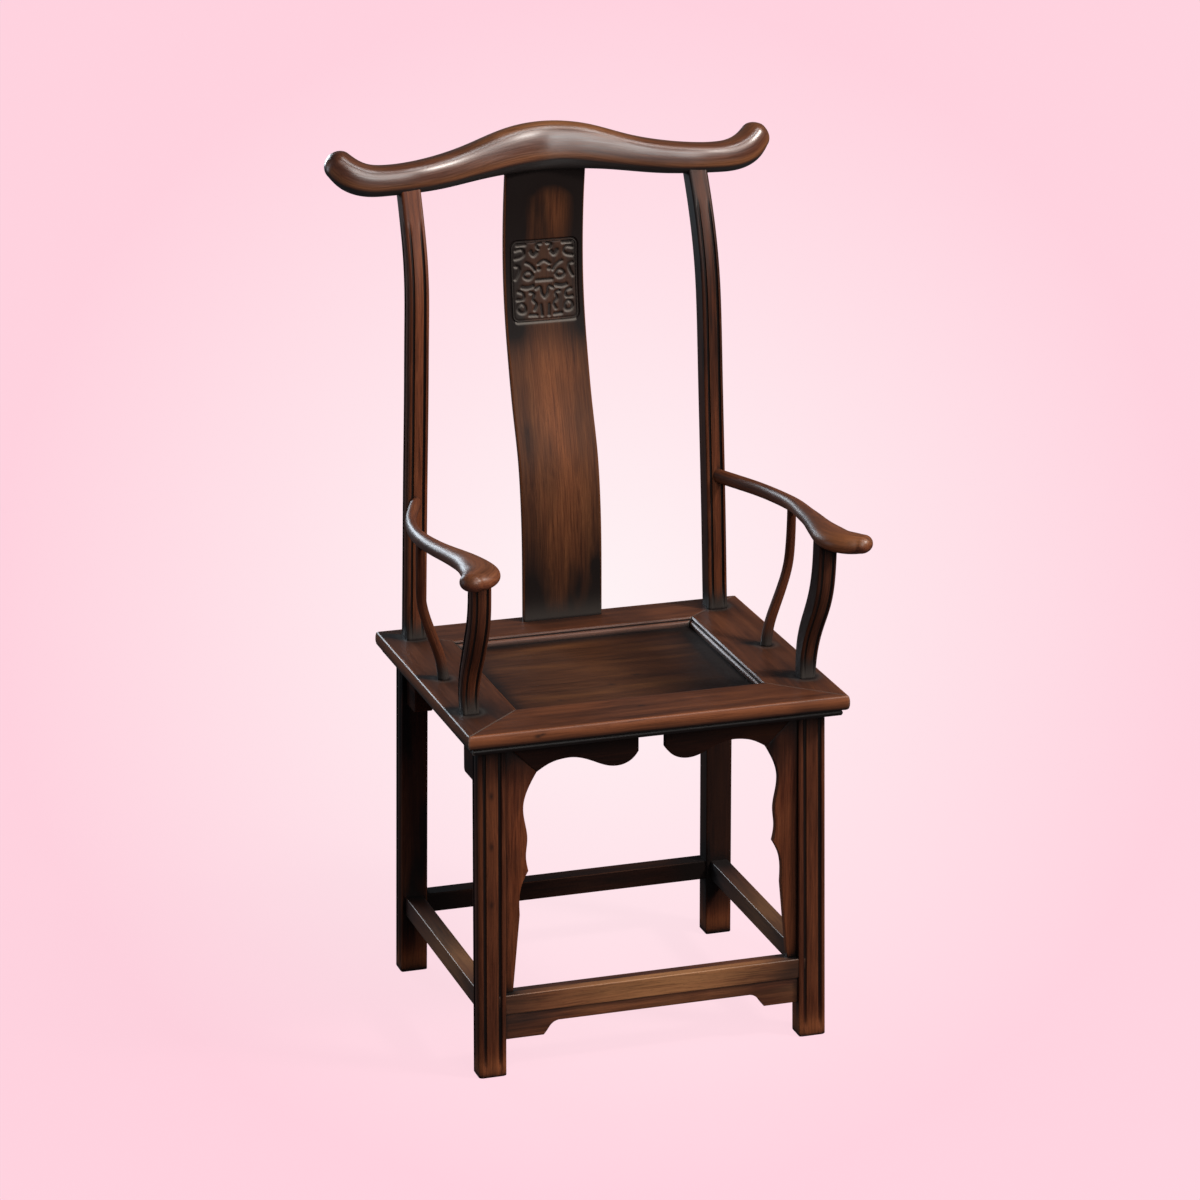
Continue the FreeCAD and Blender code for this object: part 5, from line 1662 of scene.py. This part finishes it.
def dense_line(start, end, count=8):
    share = np.linspace(0, 1, count + 1)[1:, None]
    return np.array(start) + (np.array(end) - np.array(start)) * share


print("rings across a board:", 2 * BOARD_EDGE_RINGS)

# %% [markdown]
# Two heads hang under the front rail with a gap between them, and two stiles run down the legs
# to the front stretcher. Head and stile meet in a mitre, and one wavy line runs through both.
# They are darkened with painted shade under the seat and paler below, and the right stile stands in more
# shade.

# %% Front aprons
APRON_SETBACK = 0.0385
APRON_THICKNESS = 0.012
APRON_MIDDLE_GAP = 0.0385
HEAD_DROP = 0.048
HEAD_END_DROP = 0.030
HEAD_MITRE_DROP = 0.0445
HEAD_EDGE_WEAR_SHARE = 0.4
APRON_HEAD_SHADE = 0.6
STILE_SHADE_DROP = 0.11
STILE_SHADE_LEVEL = 0.75
STILE_WORN_DROP = 0.1
STILE_WEAR = 0.35
RIGHT_STILE_SHADE = 0.18
STILE_FOOT_WIDTH = 0.013
APRON_TONGUE = 0.003
STRETCHER_FLOOR_GAP = 0.088
STRETCHER_HEIGHT = 0.028
STRETCHER_WIDTH = 0.026
# share of the head's length, share of its drop; middle end first
HEAD_SHARES = [
    (0.028, 0.774),
    (0.085, 0.936),
    (0.150, 1.0),
    (0.241, 0.958),
    (0.323, 0.825),
    (0.491, 0.609),
    (0.562, 0.613),
    (0.662, 0.702),
]
# share of the head's mitre width, share of the stile's length below the mitre
STILE_UPPER_SHARES = [(0.76, 0.066), (0.60, 0.145), (0.62, 0.20), (0.73, 0.30), (0.69, 0.38)]
STILE_CUSP_SHARE = (0.765, 0.447)
STILE_LOWER_SHARES = [(0.56, 0.508), (0.50, 0.645)]
stretcher_top = STRETCHER_FLOOR_GAP + STRETCHER_HEIGHT
mitre_foot = (leg_inner_face(frame_bottom) - HEAD_MITRE_DROP, frame_bottom - HEAD_MITRE_DROP)


def apron_head():
    middle = APRON_MIDDLE_GAP / 2
    length = leg_inner_face(frame_bottom) - middle
    corner = (leg_inner_face(frame_bottom), frame_bottom)
    points = [(middle, frame_bottom - HEAD_END_DROP)]
    points += [(middle + length * along, frame_bottom - HEAD_DROP * drop) for along, drop in HEAD_SHARES]
    points.append(mitre_foot)
    curve = along_points(points, steps(90))
    parts = [curve, dense_line(mitre_foot, corner), dense_line(corner, (middle, frame_bottom), 20)]
    parts.append(dense_line((middle, frame_bottom), points[0])[:-1])
    return np.concatenate(parts)


def stile_spot(wide, down):
    height = mitre_foot[1] - (mitre_foot[1] - stretcher_top) * down
    return leg_inner_face(height) - HEAD_MITRE_DROP * wide, height


def apron_stile():
    cusp = stile_spot(*STILE_CUSP_SHARE)
    upper = [mitre_foot] + [stile_spot(*share) for share in STILE_UPPER_SHARES] + [cusp]
    lower = [cusp] + [stile_spot(*share) for share in STILE_LOWER_SHARES]
    foot = (leg_inner_face(stretcher_top) - STILE_FOOT_WIDTH, stretcher_top)
    foot_out = (leg_inner_face(stretcher_top) + APRON_TONGUE, stretcher_top)
    corner_out = (leg_inner_face(frame_bottom) + APRON_TONGUE, frame_bottom)
    corner = (leg_inner_face(frame_bottom), frame_bottom)
    parts = [along_points(upper, steps(70)), along_points(lower, steps(24))[1:]]
    parts += [dense_line(lower[-1], foot, 20), dense_line(foot, foot_out, 3)]
    parts += [dense_line(foot_out, corner_out, 30), dense_line(corner_out, corner, 2)]
    parts.append(dense_line(corner, upper[0])[:-1])
    return np.concatenate(parts)


def head_parts():
    rings, grain, wear, grime = fret_rings(apron_head(), APRON_THICKNESS, facing_front(APRON_SETBACK))
    # painted shade under the seat
    return rings, grain, HEAD_EDGE_WEAR_SHARE * wear, grime + APRON_HEAD_SHADE


def stile_parts():
    rings, grain, wear, grime = fret_rings(apron_stile(), APRON_THICKNESS, facing_front(APRON_SETBACK))
    height = rings[:, :, 2]
    shaded = soft_step(height, frame_bottom - STILE_SHADE_DROP, frame_bottom)
    worn = 1 - soft_step(height, stretcher_top, frame_bottom - STILE_WORN_DROP)
    # painted shade under the seat
    return rings, grain[:, :, [1, 0, 2]], wear + STILE_WEAR * worn, grime + STILE_SHADE_LEVEL * shaded


both_sides("apron_head", head_parts(), "dark", "dark_wood")
both_sides("apron_stile", stile_parts(), "post", "dark_wood", RIGHT_STILE_SHADE)

# %% [markdown]
# Four stretchers tie the legs together near the floor. Feet rest on the front one, so its front
# is worn pale in the middle, and the side ones are worn there a little less. The rear one is
# never touched, and it is dark with the painted shade of the seat; the right one stands in the
# shade.

# %% Stretchers
STRETCHER_ROUNDING = 0.0015
JOINT_DEPTH = 0.012
FRONT_BAR_WEAR = 0.2
FRONT_BAR_MIDDLE_WEAR = 0.7
FRONT_BAR_WORN_PLACE = 0.02
FRONT_BAR_WORN_REACH = 0.13
FRONT_BAR_CLEANED = 0.8
CROSS_BAR_DIRT_START = 0.09
CROSS_BAR_DIRT_END = 0.02
CROSS_BAR_DIRT = 0.45
REAR_BAR_SHADE = 0.3
SIDE_BAR_WEAR = 0.75
SIDE_BAR_WORN_PLACE = -0.03
SIDE_BAR_WORN_REACH = 0.10
SIDE_BAR_CLEANED = 0.7
SIDE_BAR_DIRT_START = 0.10
SIDE_BAR_DIRT_END = 0.18
SIDE_BAR_DIRT = 0.4
RIGHT_BAR_SHADE = 0.32
stretcher_middle = STRETCHER_FLOOR_GAP + STRETCHER_HEIGHT / 2


def bar(run, centre, crosswise):
    # a straight bar through its centre, from side to side or from front to back
    places, wear, grime = section(STRETCHER_WIDTH, STRETCHER_HEIGHT, GROOVE_DEPTH, [], STRETCHER_ROUNDING)
    along = run[:, None] + 0 * wear
    aside, rise = (values + 0 * along for values in places.T)
    rings = [along, centre[1] + aside] if crosswise else [centre[0] + aside, along]
    return np.dstack(rings + [centre[2] + rise]), np.dstack([along, aside, rise]), wear, grime


def cross_stretcher(rear):
    reach = leg_inner_face(stretcher_middle) + JOINT_DEPTH
    run = np.linspace(-reach, reach, steps(90))
    rings, grain, wear, grime = bar(run, leg_centre(rear, stretcher_middle), True)
    along, front = grain[:, :, 0], grain[:, :, 1] < 0
    middle = hump(along, FRONT_BAR_WORN_PLACE, FRONT_BAR_WORN_REACH)
    shown = (FRONT_BAR_WEAR + FRONT_BAR_MIDDLE_WEAR * middle) * front * (not rear)
    ends = soft_step(np.abs(along), reach - CROSS_BAR_DIRT_START, reach - CROSS_BAR_DIRT_END)
    dirt = np.maximum(grime - FRONT_BAR_CLEANED * shown, 0) + CROSS_BAR_DIRT * ends
    # painted shade of the seat on the rear one
    return rings, grain, wear + shown, dirt + REAR_BAR_SHADE * rear


def side_stretcher():
    front, rear = leg_centre(False, stretcher_middle), leg_centre(True, stretcher_middle)
    centre = (front + rear) / 2
    run = np.linspace(front[1], rear[1], steps(80))
    rings, grain, wear, grime = bar(run, centre, False)
    off_middle = grain[:, :, 0] - centre[1]
    ends = soft_step(np.abs(off_middle), SIDE_BAR_DIRT_START, SIDE_BAR_DIRT_END)
    rubbed = SIDE_BAR_WEAR * hump(off_middle, SIDE_BAR_WORN_PLACE, SIDE_BAR_WORN_REACH)
    return rings, grain, wear + rubbed, grime * (1 - SIDE_BAR_CLEANED * rubbed) + SIDE_BAR_DIRT * ends


timber("front_stretcher", *cross_stretcher(False), finishes["tread"], "worn_wood")
timber("rear_stretcher", *cross_stretcher(True), finishes["dark"], "dark_wood")
both_sides("side_stretcher", side_stretcher(), "tread", "worn_wood", RIGHT_BAR_SHADE)

# %% [markdown]
# The apron under the front stretcher is one low board with an ear at each leg. Its ears were
# sawn by eye, and the left one is a little longer than the right.

# %% Apron under the front stretcher
FOOT_APRON_THICKNESS = 0.010
FOOT_APRON_SETBACK = 0.0325
FOOT_APRON_HEIGHT = 0.0187
FOOT_APRON_EAR = 0.0193
FOOT_APRON_EARS = {-1: 0.055, 1: 0.049}
FOOT_APRON_CURVE = 0.021
FOOT_APRON_WEAR = 0.1
FOOT_APRON_DIRT = 0.4
FOOT_APRON_DIRT_START = 0.10
FOOT_APRON_DIRT_END = 0.16
# share of the curve's length from its top end, share of the ear's drop
FOOT_CURVE_SHARES = [(0.0, 0.0), (0.25, 0.08), (0.58, 0.38), (0.78, 0.70), (1.0, 1.0)]


def half_foot_apron(side):
    # from the middle of the lower edge round one ear to the middle of the top
    low = STRETCHER_FLOOR_GAP - FOOT_APRON_HEIGHT
    tip = low - FOOT_APRON_EAR
    end = leg_inner_face(STRETCHER_FLOOR_GAP) + APRON_TONGUE
    start = leg_inner_face(STRETCHER_FLOOR_GAP) - FOOT_APRON_EARS[side] - FOOT_APRON_CURVE
    places = np.array(FOOT_CURVE_SHARES) * (FOOT_APRON_CURVE, -FOOT_APRON_EAR)
    curve = places + (start, low)
    parts = [dense_line((0, low), curve[0], 24), along_points(curve, steps(24))[1:]]
    parts += [dense_line(curve[-1], (end, tip), 8), dense_line((end, tip), (end, STRETCHER_FLOOR_GAP), 8)]
    parts += [dense_line((end, STRETCHER_FLOOR_GAP), (0, STRETCHER_FLOOR_GAP), 40)]
    return np.concatenate(parts) * (side, 1)


def foot_apron():
    outline = np.concatenate([half_foot_apron(1), half_foot_apron(-1)[::-1][1:]])
    place = facing_front(FOOT_APRON_SETBACK)
    rings, grain, wear, grime = fret_rings(outline, FOOT_APRON_THICKNESS, place)
    ears = soft_step(np.abs(rings[:, :, 0]), FOOT_APRON_DIRT_START, FOOT_APRON_DIRT_END)
    wear, grime = wear + FOOT_APRON_WEAR, grime + FOOT_APRON_DIRT * ears
    timber("front_stretcher_apron", rings, grain, wear, grime, finishes["tread"], "dark_wood")


foot_apron()

# %% [markdown]
# Short brackets stiffen the side rails beside the legs. They are plain blocks with one rounded
# corner, dark because they are always in the shade of the seat.

# %% Brackets
BRACKET_HEIGHT = 0.064
BRACKET_WIDTH = 0.026
BRACKET_SIDE_SETBACK = 0.030
FRONT_BRACKET_LENGTH = 0.062
REAR_BRACKET_LENGTH = 0.042
BRACKET_ROUNDING = 0.006
BRACKET_EDGE_WEAR_SHARE = 0.5
BRACKET_SHADE = 0.35


def bracket(rear):
    leg_end = leg_centre(rear, frame_bottom)[1]
    side = -1 if rear else 1
    length = REAR_BRACKET_LENGTH if rear else FRONT_BRACKET_LENGTH
    free_end = leg_end + side * (LEG_DEPTH / 2 + length)
    low = frame_bottom - BRACKET_HEIGHT
    angle = np.linspace(0, math.pi / 2, 9)
    corner_y = free_end - side * BRACKET_ROUNDING * (1 - np.cos(angle))
    corner_z = low + BRACKET_ROUNDING * (1 - np.sin(angle))
    corner = np.column_stack([corner_y, corner_z])
    free_top, leg_top, leg_low = (free_end, frame_bottom), (leg_end, frame_bottom), (leg_end, low)
    outline = [dense_line(free_top, corner[0], 6), corner[1:], dense_line(corner[-1], leg_low, 6)]
    outline += [dense_line(leg_low, leg_top, 6), dense_line(leg_top, free_top, 6)]
    outer = half_width - BRACKET_SIDE_SETBACK

    def place(points, depth):
        return np.column_stack([np.full(len(points), outer - depth), points[:, 0], points[:, 1]])

    rings, grain, wear, grime = fret_rings(np.concatenate(outline), BRACKET_WIDTH, place)
    # painted shade of the seat
    return rings, grain, BRACKET_EDGE_WEAR_SHARE * wear, grime + BRACKET_SHADE


both_sides("front_bracket", bracket(False), "dark", "dark_wood")
both_sides("rear_bracket", bracket(True), "dark", "dark_wood")

# %% [markdown]
# The battens under the panel and the pegs in the joints are plain in the real chair too, so
# their solids stay as they are and only get the wood's finish.

# %% Parts that stay as solids
for node in ("seat_batten_left", "seat_batten_right", "crest_pegs", "seat_corner_pegs"):
    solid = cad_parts[node]
    solid.data.materials.clear()
    solid.data.materials.append(finishes["hidden"])
    print(node, "keeps its solid")

# %% [markdown]
# The picture's ground is a pale pink with a lighter pool behind the chair. The floor is a round
# net of points, and each point knows how light it is, from a formula on its place. The floor
# shows that colour to the camera, and a darker and cooler one to reflections. Near the chair a
# small part of it takes light, so that the chair keeps a soft shadow.

# %% Floor
CAMERA_PLACE = np.array([-1.8818, -5.7835, 2.5843])
CAMERA_DOWN = math.radians(18.142)
CAMERA_TURN = math.radians(17.968)
CAMERA_LENS = 138.99
CAMERA_SENSOR = 36.0
FLOOR_RADIUS = 40.0
FLOOR_HOLE = 0.0004
LEAST_DEPTH = 0.1
FLOOR_RINGS = 150
FLOOR_SPOKES = 128
EDGE_PINK = (1.0, 0.645, 0.74)
POOL_PINK = (1.0, 0.885, 0.905)
POOL_START = 0.004
POOL_END = 0.130
LIT_SHARE = 0.06
REFLECTED_LEVEL = 0.055
REFLECTED_TINT = (0.90, 0.92, 1.0)
SHADOW_REACH = 0.9
BOUNCE_ROSE = (0.16, 0.11, 0.12)
ahead = np.array(
    [
        math.sin(CAMERA_TURN) * math.cos(CAMERA_DOWN),
        math.cos(CAMERA_TURN) * math.cos(CAMERA_DOWN),
        -math.sin(CAMERA_DOWN),
    ]
)


def pool_of_light(points):
    # how far off the middle line of sight each floor point lies, as a tangent
    away = points - CAMERA_PLACE
    depth = away @ ahead
    aside = np.linalg.norm(away - depth[:, None] * ahead, axis=1)
    return np.where(depth > 0, aside / np.maximum(depth, LEAST_DEPTH), 1)


def floor_mesh():
    centre = CAMERA_PLACE - ahead * CAMERA_PLACE[2] / ahead[2]
    radii = np.linspace(math.sqrt(FLOOR_HOLE), math.sqrt(FLOOR_RADIUS), FLOOR_RINGS) ** 2
    spokes = np.linspace(0, 2 * math.pi, FLOOR_SPOKES, endpoint=False)
    across, deep = np.outer(radii, np.cos(spokes)), np.outer(radii, np.sin(spokes))
    points = (np.dstack([across, deep, 0 * deep]) + centre * (1, 1, 0)).reshape(-1, 3)
    mesh = bpy.data.meshes.new("floor")
    mesh.from_pydata(points.tolist(), [], ring_faces(FLOOR_RINGS, FLOOR_SPOKES)[:-1])
    near = hump(np.linalg.norm(points, axis=1), 0, SHADOW_REACH)
    for name, values in (("pool", pool_of_light(points)), ("near", near)):
        kept = mesh.attributes.new(name, "FLOAT", "POINT")
        kept.data.foreach_set("value", values.astype(np.float32))
    return mesh


def floor_finish():
    material = bpy.data.materials.new("pale pink floor")
    material.use_nodes = True
    tree = material.node_tree
    tree.nodes.clear()
    limits = {"_1": POOL_START, "_2": POOL_END}
    out = put(tree, "MapRange", {"clamp": True}, _0=mark(tree, "pool"), **limits).outputs[0]
    colour = blend(tree, out, (*POOL_PINK, 1.0), (*EDGE_PINK, 1.0))
    path = put(tree, "LightPath", {}).outputs
    seen = maths(tree, "ADD", path["Is Camera Ray"], path["Is Glossy Ray"])
    seen = maths(tree, "ADD", seen, path["Is Transmission Ray"], True)
    strength = levels(tree, path["Is Camera Ray"], 0.0, 1.0, REFLECTED_LEVEL, 1.0)
    seen_colour = blend(tree, path["Is Camera Ray"], (*REFLECTED_TINT, 1.0), colour)
    shown = put(tree, "Emission", {}, Color=seen_colour, Strength=strength)
    bounced = blend(tree, path["Is Camera Ray"], (*BOUNCE_ROSE, 1.0), colour)
    lit = put(tree, "BsdfDiffuse", {}, Color=bounced)
    unlit = maths(tree, "SUBTRACT", 1.0, maths(tree, "MULTIPLY", mark(tree, "near"), LIT_SHARE))
    share = maths(tree, "MULTIPLY", seen, unlit)
    mixed = put(tree, "MixShader", {}, _0=share, _1=lit.outputs[0], _2=shown.outputs[0])
    put(tree, "OutputMaterial", {}, Surface=mixed.outputs[0])
    return material


floor = bpy.data.objects.new("floor", floor_mesh())
floor.data.materials.append(floor_finish())
bpy.context.scene.collection.objects.link(floor)
print("floor of", len(floor.data.vertices), "points")

# %% [markdown]
# Dark polished wood is seen by what it reflects, so the lamps matter as much as the colours. A
# broad lamp high in front lays the long satin shine on the crest. A small warm one on the
# right models the posts and throws their shadows to the left, and a weak one overhead lights
# the tops. Two cool ones, behind and on the left, draw the thin bright lines on the edges.

# %% Lamps and camera
# name, place, aim, size, power, colour
LAMPS = [
    ("key", (1.9, -1.45, 2.7), (0.0, 0.0, 0.5), (0.5, 0.5), 104.0, (1.0, 0.95, 0.90)),
    ("overhead", (0.7, -0.75, 3.3), (0.0, 0.0, 0.6), (0.7, 0.6), 14.0, (0.95, 0.98, 1.0)),
    ("front", (0.3, -3.2, 2.4), (0.0, 0.0, 1.0), (1.6, 2.6), 84.0, (1.0, 0.98, 0.96)),
    ("back rim", (-1.15, 3.1, 1.5), (0.0, 0.0, 0.6), (1.4, 1.0), 64.0, (0.80, 0.90, 1.0)),
    ("left edge", (-3.2, 0.7, 0.9), (0.0, 0.0, 0.7), (1.1, 1.6), 14.0, (0.72, 0.86, 1.0)),
]
WORLD_LIGHT = 0.08
WORLD_TINT = (0.95, 0.93, 1.0)


def lamp(name, place, aim, size, power, colour):
    data = bpy.data.lights.new(name, "AREA")
    data.shape = "RECTANGLE"
    data.size, data.size_y = size
    data.energy = power
    data.color = colour
    body = bpy.data.objects.new(name, data)
    body.location = place
    body.rotation_euler = (Vector(aim) - Vector(place)).to_track_quat("-Z", "Y").to_euler()
    bpy.context.scene.collection.objects.link(body)


def world_light():
    world = bpy.data.worlds.new("studio")
    world.use_nodes = True
    tree = world.node_tree
    seen = put(tree, "LightPath", {}).outputs["Is Camera Ray"]
    shade = blend(tree, seen, (*WORLD_TINT, 1.0), (*EDGE_PINK, 1.0))
    strength = levels(tree, seen, 0.0, 1.0, WORLD_LIGHT, 1.0)
    tree.links.new(shade, tree.nodes["Background"].inputs["Color"])
    tree.links.new(strength, tree.nodes["Background"].inputs["Strength"])
    bpy.context.scene.world = world


def camera():
    data = bpy.data.cameras.new("camera")
    data.lens = CAMERA_LENS
    data.sensor_width = CAMERA_SENSOR
    body = bpy.data.objects.new("camera", data)
    body.location = CAMERA_PLACE
    body.rotation_euler = Euler((math.pi / 2 - CAMERA_DOWN, 0, -CAMERA_TURN))
    bpy.context.scene.collection.objects.link(body)
    bpy.context.scene.camera = body


for values in LAMPS:
    lamp(*values)
world_light()
camera()
bpy.context.scene.view_settings.view_transform = "Standard"
print(len(LAMPS), "lamps")
